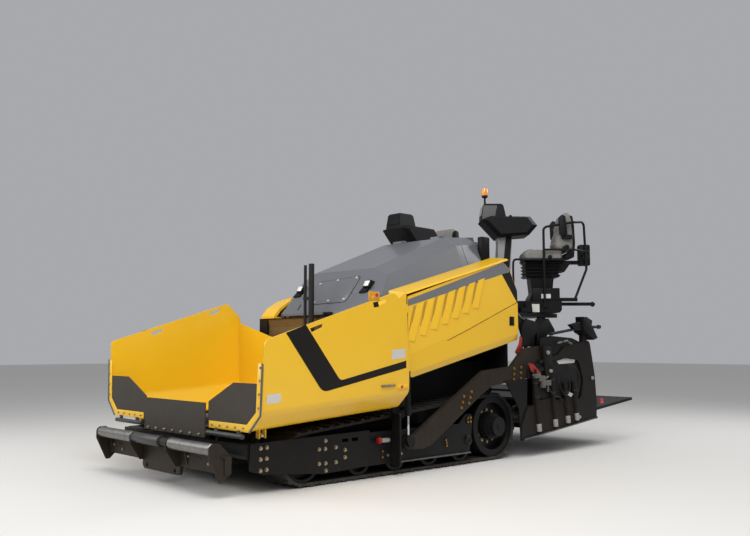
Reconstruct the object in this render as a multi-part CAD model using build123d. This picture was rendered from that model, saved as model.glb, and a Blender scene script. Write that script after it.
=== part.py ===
from build123d import *
import os
from math import atan2, cos, hypot, pi, sin

# Asphalt paver on rubber tracks, millimetres, +X ahead, +Y to the machine's left, +Z up.
# The origin is on the ground below the middle of the machine.
# Distances named *_ahead are measured forwards from the drive axle.

os.makedirs("parts", exist_ok=True)

# Frame
axle_x = -495.0
running_gap = 0.3
clearance = 8.0

# Tracks and wheels
wheelbase = 3100.0
wheel_r = 384.0
idler_r = 244.0
belt_core = 28.0
lug_height = 18.0
lug_length = 60.0
lug_taper = 8.0
lug_pitch = 150.0
belt_inner_y = 815.0
belt_width = 430.0
wheel_width = 390.0
bogie_r = 175.0
bogie_first_ahead = 640.0
bogie_last_gap = 780.0
bogie_count = 4
bogie_spacing = (wheelbase - bogie_first_ahead - bogie_last_gap) / (bogie_count - 1)
bogie_pin_r = 30.0
idler_pin_r = 45.0
wheel_disc_y = 1120.0
wheel_disc_t = 30.0
wheel_rim_t = 70.0
hub_r = 135.0
hub_cap_y = 1332.0
final_drive_r = 190.0

# Chassis
front_overhang = 750.0
chassis_outer_y = 790.0
chassis_wall = 45.0
chassis_bottom_z = 250.0
chassis_plate_t = 30.0
chassis_rear_ahead = -520.0
chassis_front_ahead = wheelbase + front_overhang
tunnel_roof_z = 1150.0
tunnel_front_ahead = 1850.0
floor_drop = 75.0
floor_t = 25.0
cross_member_depth = 150.0
cross_member_rear_ahead = chassis_front_ahead - cross_member_depth
cross_member_top_z = 500.0
slat_pitch = 300.0
slat_setback = 110.0
slat_length = 40.0
slat_height = 22.0

# Track frames
frame_plate_t = 16.0
rail_y = 1255.0
rail_t = 20.0
rail_rear_ahead = 517.0
rail_front_ahead = 2210.0
rail_bottom_z = 142.0
rail_top_z = 505.0
rail_flange_w = 40.0
rail_flange_t = 14.0
front_plate_t = 25.0
slot_h = 36.0
slot_length = 90.0
frame_cap_r = 55.0
frame_cap_ahead = 530.0
frame_cap_z = 545.0

# Hopper
hopper_lip = 30.0
hopper_front_ahead = chassis_front_ahead + hopper_lip
hopper_slope = 0.07
hinge_y = 660.0
hinge_z = 640.0
hinge_pin_r = 12.0
hinge_sleeve_r = 24.0
hinge_post_l = 20.0
wing_t = 16.0
wing_bend_r = 110.0
wing_corner_r = 75.0
wing_foot_y = 1400.0
wing_bend_y = 1580.0
wing_bend_z = 812.0
wing_lean = 0.066
wing_top_front_z = 1513.0
wing_top_rear_z = 2040.0
wing_peak_ahead = 2190.0
wing_rear_ahead = 1900.0
wing_wall_ahead = wing_rear_ahead + 110.0
wing_wall_t = 14.0
flap_t = 12.0
flap_tube_r = 24.0
apron_half_width = 640.0
apron_top_z = 878.0
apron_bottom_z = 525.0
apron_t = 14.0
apron_gap = 10.0

# Frame behind the hopper
box_front_ahead = wing_rear_ahead - 10.0
box_rear_ahead = 1735.0
box_half = 1300.0
box_post = 180.0
box_top_z = 1830.0
box_plate_t = 12.0

# Wing cylinders
wing_cylinder_setback = 270.0
wing_cylinder_ahead = hopper_front_ahead - wing_cylinder_setback
wing_cylinder_foot_y = 850.0
wing_cylinder_foot_z = 330.0
wing_cylinder_eye_y = 1225.0
wing_cylinder_eye_z = 570.0
wing_eye_ahead = wing_cylinder_ahead + hopper_slope * (wing_cylinder_eye_z - wing_cylinder_foot_z)
wing_cylinder_r = 38.0
wing_rod_r = 20.0
cylinder_ear = 12.0

# Push beam and rollers
push_pivot_ahead = chassis_front_ahead + 65.0
push_pivot_r = 40.0
push_boss_r = 56.0
push_lug_t = 40.0
push_beam_rear_ahead = push_pivot_ahead + 60.0
push_beam_front_ahead = push_beam_rear_ahead + 75.0
push_axis_ahead = push_beam_front_ahead + 110.0
push_axis_z = 470.0
push_roller_r = 58.0
push_tube_r = 42.0
push_roller_inner_y = 400.0
push_roller_outer_y = 1200.0
push_shaft_r = 22.0
push_plate_t = 16.0
push_nose_r = 48.0
push_beam_top_z = 400.0
push_beam_bottom_z = 225.0
push_beam_half = 1240.0
push_foot_z = 150.0
tow_eye_y = 300.0
tow_eye_z = 170.0
tow_eye_r = 22.0

# Body, hood and doors
door_y = 1250.0
door_skin = 12.0
door_depth = 42.0
door_front_ahead = 1570.0
door_rear_ahead = -540.0
door_pin_ahead = door_front_ahead + 16.0
door_pin_y = door_y - 4.0
door_pin_r = 8.0
door_knuckle_r = 16.0
door_knuckle_l = 80.0
door_hinge_places = [1250.0, 1850.0]
door_top_slope = 0.29
fairing_depth = 285.0
shell_t = 30.0
hood_front_ahead = 1790.0
hood_split_ahead = 1660.0
hood_rear_ahead = 110.0
cowl_side_ahead = -260.0
cowl_rear_ahead = -455.0
rear_wall_ahead = -370.0
rear_wall_top_z = 2530.0
hood_base_y = 930.0
hood_knee_y = 820.0
hood_ridge_y = 575.0
hood_wall = 24.0
hood_hinge_z = 2956.0
hood_pin_r = 8.0
stack_ahead = 1945.0
stack_top_z = 2500.0
stack_y = -100.0
stack_r = 36.0
stack_clamp_z = 2040.0
pipe_y = -225.0
pipe_r = 20.0
louvre_count = 7
louvre_pitch = 190.0
louvre_first_ahead = 1420.0
louvre_width = 110.0
louvre_height = 210.0
louvre_lean = 95.0
louvre_depth = 10.0

# Operator stations
deck_top_z = 1915.0
deck_t = 55.0
deck_rear_ahead = -1450.0
deck_half = 1250.0
station_pivot_ahead = -800.0
station_pivot_y = 1200.0
station_swing = 43.0
station_pin_r = 30.0
platform_top_z = 2085.0
bellows_z = 2420.0
bellows_ribs = 5
seat_z = 2660.0
beacon_forward = 307.0
console_forward = 200.0
console_inward = 357.0
tray_half = 285.0

# Screed and tow arms, as they stand with the sole flat on the ground
tow_setback = 240.0
tow_ahead = wing_rear_ahead - tow_setback
tow_z = 360.0
tow_pin_r = 25.0
screed_lift = 6.0
tow_arm_y = 1290.0
tow_arm_t = 60.0
tow_rod_r = 16.0
tow_post_gap = 15.0
tow_foot_offset = 175.0
tow_barrel_ahead = tow_ahead + 45.0
tow_barrel_r = 30.0
tow_barrel_y = 1378.0
tow_barrel_bottom_z = 670.0
tow_barrel_top_z = 1170.0
screed_front_ahead = -1100.0
screed_rear_ahead = -1600.0
screed_half = 1220.0
sole_z = 14.0
extension_front_ahead = -1632.0
extension_rear_ahead = -2130.0
extension_outer_y = 1370.0
gate_t = 25.0
gate_front_ahead = -360.0
gate_rear_ahead = -2165.0
gate_top_z = 1150.0
gate_jacks = [(-740.0, 900.0), (-1120.0, 900.0), (-1420.0, 620.0), (-1640.0, 620.0)]
jack_body_z = 260.0
jack_r = 32.0
board_rear_ahead = -3230.0
board_z = 120.0
board_t = 40.0
lift_ahead = -1230.0
lift_top_z = 1800.0
lift_eye_z = 640.0
lift_y = 1130.0
lift_barrel_r = 40.0
lift_rod_r = 22.0

# Augers
auger_ahead = -760.0
auger_z = 460.0
auger_r = 190.0
auger_shaft_r = 45.0
auger_inner_y = 70.0
auger_outer_y = 1230.0
auger_pitch = 290.0
flight_steps = 16
flight_t = 12.0
auger_case_half = 55.0
auger_case_top_z = 800.0


def at(ahead):
    """x of a place given ahead of the drive axle."""
    return axle_x + ahead


def rise(ahead):
    """Height gained by the hopper floor and the wing hinges, which slope up to the rear."""
    return hopper_slope * (hopper_front_ahead - ahead)


def block(x_range, y_range, z_range):
    """Box between pairs of limits."""
    limits = (x_range, y_range, z_range)
    sizes = [high - low for low, high in limits]
    middle = [(low + high) / 2 for low, high in limits]
    return Pos(*middle) * Box(*sizes)


def rounded(face, corners, radii):
    """Face with arcs in place of some corners; radii holds (corner number, radius) pairs."""
    for number, radius in radii:
        place = Vector(*corners[number])
        vertex = min(face.vertices(), key=lambda v: (Vector(v.X, v.Y, v.Z) - place).length)
        face = face.fillet_2d(radius, [vertex])
    return face


def side_plate(outline, y_from, y_to, radii=()):
    """Plate across Y from an outline of (ahead, z) points."""
    corners = [(at(x), y_from, z) for x, z in outline]
    face = rounded(Face(Wire.make_polygon(corners, close=True)), corners, radii)
    return Solid.extrude(face, Vector(0, y_to - y_from, 0))


def cross_plate(outline, x_from, x_to, radii=()):
    """Plate across X from an outline of (y, z) points."""
    corners = [(x_from, y, z) for y, z in outline]
    face = rounded(Face(Wire.make_polygon(corners, close=True)), corners, radii)
    return Solid.extrude(face, Vector(x_to - x_from, 0, 0))


def rod(start, end, radius):
    """Round bar between two points."""
    start, end = Vector(*start), Vector(*end)
    run = end - start
    plane = Plane(origin=start, z_dir=run)
    return Solid.make_cylinder(radius, run.length, plane)


def ring(start, end, outer, inner):
    """Round sleeve between two points."""
    return rod(start, end, outer) - rod(start, end, inner)


def strip(points, thickness):
    """Closed outline of a bent plate that follows a line of points, mitred at each bend."""
    sides = []
    for half in (thickness / 2, -thickness / 2):
        edge = []
        for i, point in enumerate(points):
            normals = []
            for j in (i - 1, i):
                if 0 <= j < len(points) - 1:
                    run = (points[j + 1][0] - points[j][0], points[j + 1][1] - points[j][1])
                    size = hypot(*run)
                    normals.append((-run[1] / size, run[0] / size))
            n = (sum(a for a, _ in normals), sum(b for _, b in normals))
            scale = half * len(normals) / (n[0] ** 2 + n[1] ** 2)
            edge.append((point[0] + n[0] * scale, point[1] + n[1] * scale))
        sides.append(edge)
    return sides[0] + sides[1][::-1]


def mirrored(shape):
    """The same piece on the other side of the machine."""
    return shape.mirror(Plane.XZ)


def joined(pieces):
    """One shape from a list of pieces that touch or overlap."""
    total = pieces[0]
    for piece in pieces[1:]:
        total = total + piece
    return total


nodes = {}


def add(name, *pieces):
    """Keep the solids of one node."""
    solids = [solid for piece in pieces for solid in piece.solids()]
    nodes[name] = solids[0] if len(solids) == 1 else Compound(children=solids)


def add_both(name, *pieces):
    """A node that holds a piece of each side."""
    add(name, *pieces, *[mirrored(piece) for piece in pieces])


def add_sides(name, *pieces):
    """A left and a right node."""
    add(name + "_left", *pieces)
    add(name + "_right", *[mirrored(piece) for piece in pieces])


# Tracks
axle_z = lug_height + belt_core + wheel_r
idler_z = lug_height + belt_core + idler_r


def belt_face(inset, y):
    """Area inside the belt's line, drawn inset from the lug tips."""
    big, small = axle_z - inset, idler_z - inset
    tilt = 2 * atan2(idler_z - axle_z, wheelbase)
    up = (-sin(tilt), cos(tilt))
    rear, front = (at(0), axle_z), (at(wheelbase), idler_z)
    rear_top = (rear[0] + big * up[0], rear[1] + big * up[1])
    front_top = (front[0] + small * up[0], front[1] + small * up[1])
    edges = [
        Edge.make_line((rear[0], y, inset), (front[0], y, inset)),
        Edge.make_three_point_arc(
            (front[0], y, inset), (front[0] + small, y, front[1]), (front_top[0], y, front_top[1])
        ),
        Edge.make_line((front_top[0], y, front_top[1]), (rear_top[0], y, rear_top[1])),
        Edge.make_three_point_arc(
            (rear_top[0], y, rear_top[1]), (rear[0] - big, y, rear[1]), (rear[0], y, inset)
        ),
    ]
    return Face(Wire(edges))


def lug_places():
    """(x, z, turn) of each lug's foot along the outside of the belt, by even steps."""
    tilt = 2 * atan2(idler_z - axle_z, wheelbase)
    big, small = axle_z - lug_height, idler_z - lug_height
    front_arc = small * (pi + tilt)
    rear_arc = big * (pi - tilt)
    total = 2 * wheelbase + front_arc + rear_arc
    count = round(total / lug_pitch)
    for i in range(count):
        s = i * total / count
        if s < wheelbase:
            yield at(s), lug_height, 0.0
            continue
        s -= wheelbase
        if s < front_arc:
            turn = s / small
            yield at(wheelbase) + small * sin(turn), idler_z - small * cos(turn), turn
            continue
        s -= front_arc
        turn = pi + tilt
        if s < wheelbase:
            x = at(wheelbase) + small * sin(turn) - s * cos(tilt)
            z = idler_z - small * cos(turn) - s * sin(tilt)
            yield x, z, turn
            continue
        s -= wheelbase
        turn += s / big
        yield at(0) + big * sin(turn), axle_z - big * cos(turn), turn


def make_track():
    """One endless belt with its tread bars in its outline."""
    y = belt_inner_y
    area = belt_face(lug_height, y) - belt_face(lug_height + belt_core, y)
    across = Vector(0, belt_width, 0)
    sunk = belt_core / 2
    lugs = []
    for x, z, turn in lug_places():
        ahead, out = (cos(turn), sin(turn)), (sin(turn), -cos(turn))
        corners = []
        for along, depth in (
            (-lug_length / 2, -sunk),
            (lug_length / 2, -sunk),
            (lug_length / 2 - lug_taper, lug_height),
            (-lug_length / 2 + lug_taper, lug_height),
        ):
            corners.append(
                (x + ahead[0] * along + out[0] * depth, y, z + ahead[1] * along + out[1] * depth)
            )
        lugs.append(Solid.extrude(Face(Wire.make_polygon(corners, close=True)), across))
    return Solid.extrude(area.faces()[0], across) + lugs


add_sides("track", make_track())

# Wheels inside the belts
wheel_y = belt_inner_y + (belt_width - wheel_width) / 2
wheel_end_y = wheel_y + wheel_width


def y_cylinder(ahead, z, y_from, y_to, radius):
    """Round piece across the machine."""
    return rod((at(ahead), y_from, z), (at(ahead), y_to, z), radius)


def make_drive_wheel():
    """Wide wheel with a deep dish, a stepped hub, its cap and the centre plug."""
    tread = wheel_r - running_gap
    rim = y_cylinder(0, axle_z, wheel_y, wheel_end_y, tread)
    rim = rim - y_cylinder(0, axle_z, wheel_y, wheel_end_y, tread - wheel_rim_t)
    lip = y_cylinder(0, axle_z, wheel_end_y - wheel_disc_t, wheel_end_y, tread - wheel_rim_t + 1)
    lip = lip - y_cylinder(0, axle_z, wheel_end_y - wheel_disc_t, wheel_end_y, tread - wheel_rim_t - 14)
    disc = y_cylinder(0, axle_z, wheel_disc_y - wheel_disc_t, wheel_disc_y, tread - wheel_rim_t / 2)
    hub = y_cylinder(0, axle_z, wheel_disc_y, hub_cap_y - 95, hub_r + 30)
    neck = y_cylinder(0, axle_z, hub_cap_y - 95, hub_cap_y - 60, hub_r + 8)
    cap = y_cylinder(0, axle_z, hub_cap_y - 60, hub_cap_y, hub_r - 12)
    plug = y_cylinder(0, axle_z, hub_cap_y, hub_cap_y + 8, hub_r / 4)
    return joined([rim, lip, disc, hub, neck, cap, plug])


add_both("drive_wheels", make_drive_wheel())
add_both(
    "final_drives",
    y_cylinder(0, axle_z, chassis_outer_y, wheel_disc_y - wheel_disc_t, final_drive_r),
)

bogie_places = [bogie_first_ahead + i * bogie_spacing for i in range(bogie_count)]
bogie_z = lug_height + belt_core + running_gap + bogie_r


def make_roller(ahead, z, radius, pin_r):
    """Road wheel with two tread bands, a waist between them and a bore for its pin."""
    third = wheel_width / 3
    body = y_cylinder(ahead, z, wheel_y, wheel_end_y, radius)
    waist = y_cylinder(ahead, z, wheel_y + third, wheel_end_y - third, radius + 1)
    waist = waist - y_cylinder(ahead, z, wheel_y + third, wheel_end_y - third, radius * 0.6)
    dish = y_cylinder(ahead, z, wheel_end_y - third / 2, wheel_end_y, radius - 35)
    dish = dish - y_cylinder(ahead, z, wheel_end_y - third / 2, wheel_end_y, pin_r + 25)
    bore = y_cylinder(ahead, z, wheel_y, wheel_end_y, pin_r + running_gap)
    return body - waist - dish - bore


rollers = [make_roller(place, bogie_z, bogie_r, bogie_pin_r) for place in bogie_places]
idler = make_roller(wheelbase, idler_z, idler_r - running_gap, idler_pin_r)
add_both("road_wheels", *rollers, idler)


def make_track_frame():
    """Inner plate, cross beams, axle pins, outer rail and its capped rear bracket."""
    inner = side_plate(
        [
            (rail_rear_ahead, rail_bottom_z + 18),
            (rail_front_ahead + 200, rail_bottom_z + 18),
            (wheelbase + 60, 240),
            (wheelbase + 60, 350),
            (rail_front_ahead + 200, rail_top_z - 20),
            (rail_rear_ahead, rail_top_z),
        ],
        chassis_outer_y,
        chassis_outer_y + frame_plate_t,
    )
    outer = side_plate(
        [
            (rail_rear_ahead, rail_bottom_z),
            (rail_front_ahead, rail_bottom_z),
            (rail_front_ahead, rail_top_z),
            (rail_rear_ahead + 200, rail_top_z),
            (rail_rear_ahead + 75, frame_cap_z + frame_cap_r + 15),
            (frame_cap_ahead - frame_cap_r - 10, frame_cap_z + frame_cap_r + 15),
            (frame_cap_ahead - frame_cap_r - 10, frame_cap_z - frame_cap_r),
        ],
        rail_y,
        rail_y + rail_t,
        [(4, 40.0), (5, 40.0), (0, 20.0)],
    )
    cap = y_cylinder(frame_cap_ahead, frame_cap_z, rail_y, rail_y + rail_t + clearance, frame_cap_r)
    front = side_plate(
        [
            (rail_front_ahead, rail_bottom_z + 3),
            (rail_front_ahead + 635, rail_bottom_z - 20),
            (wheelbase + 560, 200),
            (wheelbase + 690, 240),
            (wheelbase + 690, rail_top_z - 3),
            (rail_front_ahead, rail_top_z + 25),
        ],
        rail_y,
        rail_y + front_plate_t,
        [(1, 60.0), (2, 40.0), (3, 20.0), (4, 12.0)],
    )
    for place in (rail_front_ahead + 170, rail_front_ahead + 310):
        cut = block(
            (at(place), at(place + slot_length)),
            (rail_y - 1, rail_y + front_plate_t + 1),
            (rail_top_z - 75, rail_top_z - 75 + slot_h),
        )
        front = front - cut
    beam = block(
        (at(rail_rear_ahead + 250), at(rail_front_ahead - 40)),
        (chassis_outer_y, rail_y),
        (bogie_z + bogie_r + clearance * 2, rail_top_z - 20),
    )
    pins = [
        y_cylinder(place, bogie_z, chassis_outer_y, rail_y + rail_t, bogie_pin_r)
        for place in bogie_places
    ]
    idler_pin = y_cylinder(wheelbase, idler_z, chassis_outer_y, rail_y + front_plate_t, idler_pin_r)
    return joined([inner, outer, cap, front, beam, idler_pin, *pins])


add_both("track_frames", make_track_frame())
add_both(
    "rail_flanges",
    block(
        (at(rail_rear_ahead + 20), at(tow_ahead + tow_foot_offset - clearance)),
        (rail_y + rail_t, rail_y + rail_t + rail_flange_w),
        (rail_bottom_z, rail_bottom_z + rail_flange_t),
    ),
)


# Chassis
def make_chassis():
    """Two side walls, bottom, sloping conveyor floor, tunnel roof and front cross member."""
    top = hinge_z - wing_t / 2 - hinge_sleeve_r
    inside = chassis_outer_y - chassis_wall
    wall = side_plate(
        [
            (chassis_rear_ahead, chassis_bottom_z),
            (chassis_front_ahead - 250, chassis_bottom_z),
            (chassis_front_ahead, chassis_bottom_z + 100),
            (chassis_front_ahead, top + rise(chassis_front_ahead)),
            (tunnel_front_ahead, top + rise(tunnel_front_ahead)),
            (tunnel_front_ahead, tunnel_roof_z),
            (chassis_rear_ahead, tunnel_roof_z),
        ],
        inside,
        chassis_outer_y,
    )
    bottom = block(
        (at(chassis_rear_ahead), at(chassis_front_ahead - 250)),
        (-inside, inside),
        (chassis_bottom_z, chassis_bottom_z + chassis_plate_t),
    )
    floor_low = hinge_z - floor_drop
    floor = side_plate(
        [
            (chassis_front_ahead, floor_low + rise(chassis_front_ahead)),
            (chassis_rear_ahead, floor_low + rise(chassis_rear_ahead)),
            (chassis_rear_ahead, floor_low + floor_t + rise(chassis_rear_ahead)),
            (chassis_front_ahead, floor_low + floor_t + rise(chassis_front_ahead)),
        ],
        -inside,
        inside,
    )
    rear_plate = block(
        (at(chassis_rear_ahead), at(chassis_rear_ahead + 20)),
        (-inside, inside),
        (chassis_bottom_z, auger_case_top_z),
    )
    roof = block(
        (at(chassis_rear_ahead), at(tunnel_front_ahead)),
        (-chassis_outer_y, chassis_outer_y),
        (tunnel_roof_z - chassis_plate_t, tunnel_roof_z),
    )
    cross = side_plate(
        [
            (cross_member_rear_ahead, chassis_bottom_z + 100),
            (chassis_front_ahead - 45, chassis_bottom_z + 100),
            (chassis_front_ahead, chassis_bottom_z + 145),
            (chassis_front_ahead, cross_member_top_z),
            (cross_member_rear_ahead, cross_member_top_z),
        ],
        -rail_y,
        rail_y,
    )
    shelf = block(
        (at(chassis_front_ahead - 20), at(apron_ahead)),
        (-apron_half_width + 20, apron_half_width - 20),
        (apron_bottom_z + 12, apron_bottom_z + 24),
    )
    shelf = shelf + block(
        (at(chassis_front_ahead - 20), at(chassis_front_ahead)),
        (-apron_half_width + 20, apron_half_width - 20),
        (cross_member_top_z, apron_bottom_z + 24),
    )
    pivot = rod(
        (at(push_pivot_ahead), 0, push_beam_bottom_z),
        (at(push_pivot_ahead), 0, push_beam_top_z),
        push_pivot_r,
    )
    lugs = [
        block(
            (at(chassis_front_ahead - 30), at(push_pivot_ahead)),
            (-push_pivot_r, push_pivot_r),
            (z, z + push_lug_t),
        )
        for z in (push_beam_bottom_z + 20, push_beam_top_z - push_lug_t)
    ]
    web = block(
        (at(chassis_front_ahead - 60), at(chassis_front_ahead)),
        (-push_pivot_r, push_pivot_r),
        (push_beam_bottom_z + 20, chassis_bottom_z + 150),
    )
    pins = []
    for side in (1, -1):
        start = (at(chassis_front_ahead), side * hinge_y, hinge_z + rise(chassis_front_ahead))
        end = (at(hinge_posts[-1]), side * hinge_y, hinge_z + rise(hinge_posts[-1]))
        pins.append(rod(start, end, hinge_pin_r))
    ends = []
    for ahead in hinge_posts:
        for side in (1, -1):
            ends.append(
                block(
                    (at(ahead), at(ahead + hinge_post_l)),
                    (side * hinge_y - 20, side * hinge_y + 20),
                    (floor_low + rise(ahead), hinge_z + rise(ahead) + hinge_pin_r),
                )
            )
    eyes = []
    for side in (1, -1):
        y_in, y_out = sorted((side * (chassis_outer_y - 5), side * (wing_cylinder_foot_y + 30)))
        for offset in (-cylinder_ear - 22, 22):
            eyes.append(
                block(
                    (at(wing_cylinder_ahead) + offset, at(wing_cylinder_ahead) + offset + cylinder_ear),
                    (y_in, y_out),
                    (wing_cylinder_foot_z - 40, wing_cylinder_foot_z + 30),
                )
            )
        reach = cylinder_ear + 22
        x, y, z = at(wing_cylinder_ahead), side * wing_cylinder_foot_y, wing_cylinder_foot_z
        eyes.append(
            rod((x - reach, y, z + reach * hopper_slope), (x + reach, y, z - reach * hopper_slope), 12)
        )
    fixed = [wall, mirrored(wall), bottom, rear_plate, floor, roof, cross, shelf, web]
    return joined([*fixed, *lugs, pivot, *pins, *ends, *eyes])


hinge_posts = [
    chassis_front_ahead - hinge_post_l,
    (chassis_front_ahead + tunnel_front_ahead) / 2 + 50,
    tunnel_front_ahead + 30,
]
apron_ahead = hopper_front_ahead + flap_t + apron_gap


add("chassis", make_chassis())


# Hopper
def wing_profile():
    """Line of the wing's cross-section at the front, hinge to top, as (y, z)."""
    top = wing_top_rear_z
    return [
        (hinge_y + hinge_sleeve_r - 4, hinge_z),
        (wing_foot_y, hinge_z),
        (wing_bend_y, wing_bend_z),
        (wing_bend_y + wing_lean * (top - wing_bend_z), top),
    ]


def sheared(outline, front_ahead, rear_ahead, radii=()):
    """Bar of one cross-section that rises to the rear with the hopper's slope."""
    start = rise(front_ahead)
    corners = [(at(front_ahead), y, z + start) for y, z in outline]
    face = rounded(Face(Wire.make_polygon(corners, close=True)), corners, radii)
    length = front_ahead - rear_ahead
    return Solid.extrude(face, Vector(-length, 0, hopper_slope * length))


wing_hinge_run = Vector(1, 0, -hopper_slope).normalized()
wing_side = [
    (hopper_front_ahead, 0),
    (hopper_front_ahead, wing_top_front_z),
    (wing_peak_ahead, wing_top_rear_z),
    (wing_rear_ahead + 90, 1850),
    (wing_rear_ahead + 15, 1280),
    (wing_rear_ahead, 1000),
    (wing_rear_ahead, 0),
]

# Grip slots near the wing's top edge: corners as (behind the hopper's front, z)
wing_slots = [
    [(536, 1630), (700, 1683), (700, 1647), (559, 1589)],
    [(1401, 1912), (1570, 1966), (1570, 1930), (1424, 1871)],
]


def make_wing():
    """Left hopper wing: bent floor and side plate, rear wall, hinge sleeves and lug."""
    outer, inner = wing_bend_r + wing_t / 2, wing_bend_r - wing_t / 2
    skin = sheared(
        strip(wing_profile(), wing_t),
        hopper_front_ahead,
        wing_rear_ahead,
        [(1, inner), (2, inner), (6, outer), (5, outer)],
    )
    skin = skin & side_plate(
        wing_side,
        hinge_y - 100,
        wing_bend_y + 200,
        [(1, wing_corner_r), (2, wing_corner_r), (3, wing_corner_r)],
    )
    for slot in wing_slots:
        corners = [(hopper_front_ahead - back, z) for back, z in slot]
        skin = skin - side_plate(corners, wing_bend_y - 60, wing_bend_y + 140)
    wall_rise = rise(wing_wall_ahead)
    wall = cross_plate(
        [
            (hinge_y + 30, hinge_z + wall_rise - 6),
            (wing_foot_y + 4, hinge_z + wall_rise - 6),
            (wing_bend_y, wing_bend_z + wall_rise),
            (wing_bend_y + 56, 1785),
            (hinge_y + 110, 1560),
        ],
        at(wing_wall_ahead),
        at(wing_wall_ahead + wing_wall_t),
        [(4, 60.0)],
    )
    sleeves = []
    for front, rear in zip(hinge_posts, hinge_posts[1:]):
        front, rear = front - clearance * 2, rear + hinge_post_l + clearance * 2
        start = (at(front), hinge_y, hinge_z + rise(front))
        end = (at(rear), hinge_y, hinge_z + rise(rear))
        sleeves.append(rod(start, end, hinge_sleeve_r))
    front, rear = hopper_front_ahead + hopper_lip, wing_rear_ahead - hopper_lip
    bore = rod(
        (at(front), hinge_y, hinge_z + rise(front)),
        (at(rear), hinge_y, hinge_z + rise(rear)),
        hinge_pin_r + running_gap,
    )
    wing = joined([skin, wall, *sleeves]) - bore
    for ahead in hinge_posts:
        room = block(
            (at(ahead - clearance), at(ahead + hinge_post_l + clearance)),
            (hinge_y - 40, hinge_y + 20 + clearance),
            (hinge_z - 200, hinge_z + rise(ahead) + 60),
        )
        wing = wing - room
    eye_plates = [
        block(
            (at(wing_eye_ahead) + offset, at(wing_eye_ahead) + offset + cylinder_ear),
            (wing_cylinder_eye_y - 30, wing_cylinder_eye_y + 30),
            (wing_cylinder_eye_z - 25, hinge_z + rise(wing_eye_ahead)),
        )
        for offset in (-cylinder_ear - 30, 30)
    ]
    return joined([wing, *eye_plates])


add_sides("wing", make_wing())

add_sides(
    "flap",
    cross_plate(
        [
            (hinge_y + 8, hinge_z - 10),
            (wing_foot_y + 4, hinge_z - 8),
            (wing_bend_y + 4, wing_bend_z),
            (wing_bend_y + 17, 1098),
            (1120, 1098),
            (hinge_y + 8, 893),
        ],
        at(hopper_front_ahead),
        at(hopper_front_ahead + flap_t),
        [(1, wing_bend_r), (2, wing_bend_r)],
    ),
)

flap_tube_ahead = hopper_front_ahead + flap_t + flap_tube_r + running_gap
tube_bracket = cross_plate(
    [(820, 585), (870, 585), (870, 640), (820, 640)],
    at(hopper_front_ahead + flap_t),
    at(hopper_front_ahead + flap_t + 20),
)
flap_tube = rod((at(flap_tube_ahead), 700, 585), (at(flap_tube_ahead), 1330, 585), flap_tube_r)
far_bracket = Pos(0, 400, 0) * tube_bracket
add_sides("flap_tube", joined([flap_tube, tube_bracket, far_bracket]))

add(
    "front_apron",
    cross_plate(
        [
            (-apron_half_width, apron_bottom_z),
            (apron_half_width, apron_bottom_z),
            (apron_half_width, apron_top_z),
            (-apron_half_width, apron_top_z),
        ],
        at(apron_ahead),
        at(apron_ahead + apron_t),
        [(0, 12.0), (1, 12.0)],
    ),
)


def make_conveyor():
    """Slat bars of both conveyors and the roofed guard between them."""
    top = hinge_z - floor_drop + floor_t + running_gap
    bars = []
    first = chassis_front_ahead - slat_setback
    for i in range(int((first - chassis_rear_ahead) / slat_pitch)):
        ahead = first - i * slat_pitch
        for side in (1, -1):
            y_in, y_out = sorted((side * 70, side * 560))
            z = top + rise(ahead)
            bars.append(block((at(ahead), at(ahead + slat_length)), (y_in, y_out), (z, z + slat_height)))
    guard = sheared(
        [(-45, top), (45, top), (45, top + 60), (0, top + 100), (-45, top + 60)],
        chassis_front_ahead - 60,
        tunnel_front_ahead + 60,
        [(3, 20.0)],
    )
    return [guard, *bars]


add("conveyor", *make_conveyor())


def make_box_frame():
    """Channel frame across the machine above the tunnel's mouth."""
    z_low = tunnel_roof_z
    posts = []
    for side in (1, -1):
        low, high = sorted((side * (box_half - box_post), side * box_half))
        posts.append(
            block((at(box_rear_ahead), at(box_front_ahead)), (low, high), (z_low, box_top_z))
            - block(
                (at(box_rear_ahead) - 1, at(box_front_ahead - box_plate_t)),
                (low + box_plate_t, high - box_plate_t),
                (z_low - 1, box_top_z - box_plate_t),
            )
        )
    top = block(
        (at(box_rear_ahead), at(box_front_ahead)),
        (-box_half, box_half),
        (box_top_z - box_plate_t, box_top_z),
    )
    sill = block(
        (at(box_rear_ahead), at(tunnel_front_ahead)),
        (-box_half, box_half),
        (z_low, z_low + box_plate_t),
    )
    return joined([*posts, top, sill])


add("box_frame", make_box_frame())
box_inside = box_half - box_post - running_gap
add(
    "tunnel_panel",
    side_plate(
        [
            (tunnel_front_ahead, tunnel_roof_z + box_plate_t),
            (tunnel_front_ahead + box_plate_t, tunnel_roof_z + box_plate_t),
            (tunnel_front_ahead + box_plate_t, box_top_z - 120),
            (box_front_ahead - box_plate_t, box_top_z - box_plate_t),
            (box_front_ahead - box_plate_t * 2, box_top_z - box_plate_t),
            (tunnel_front_ahead, box_top_z - 115),
        ],
        -box_inside,
        box_inside,
    ),
)


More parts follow.
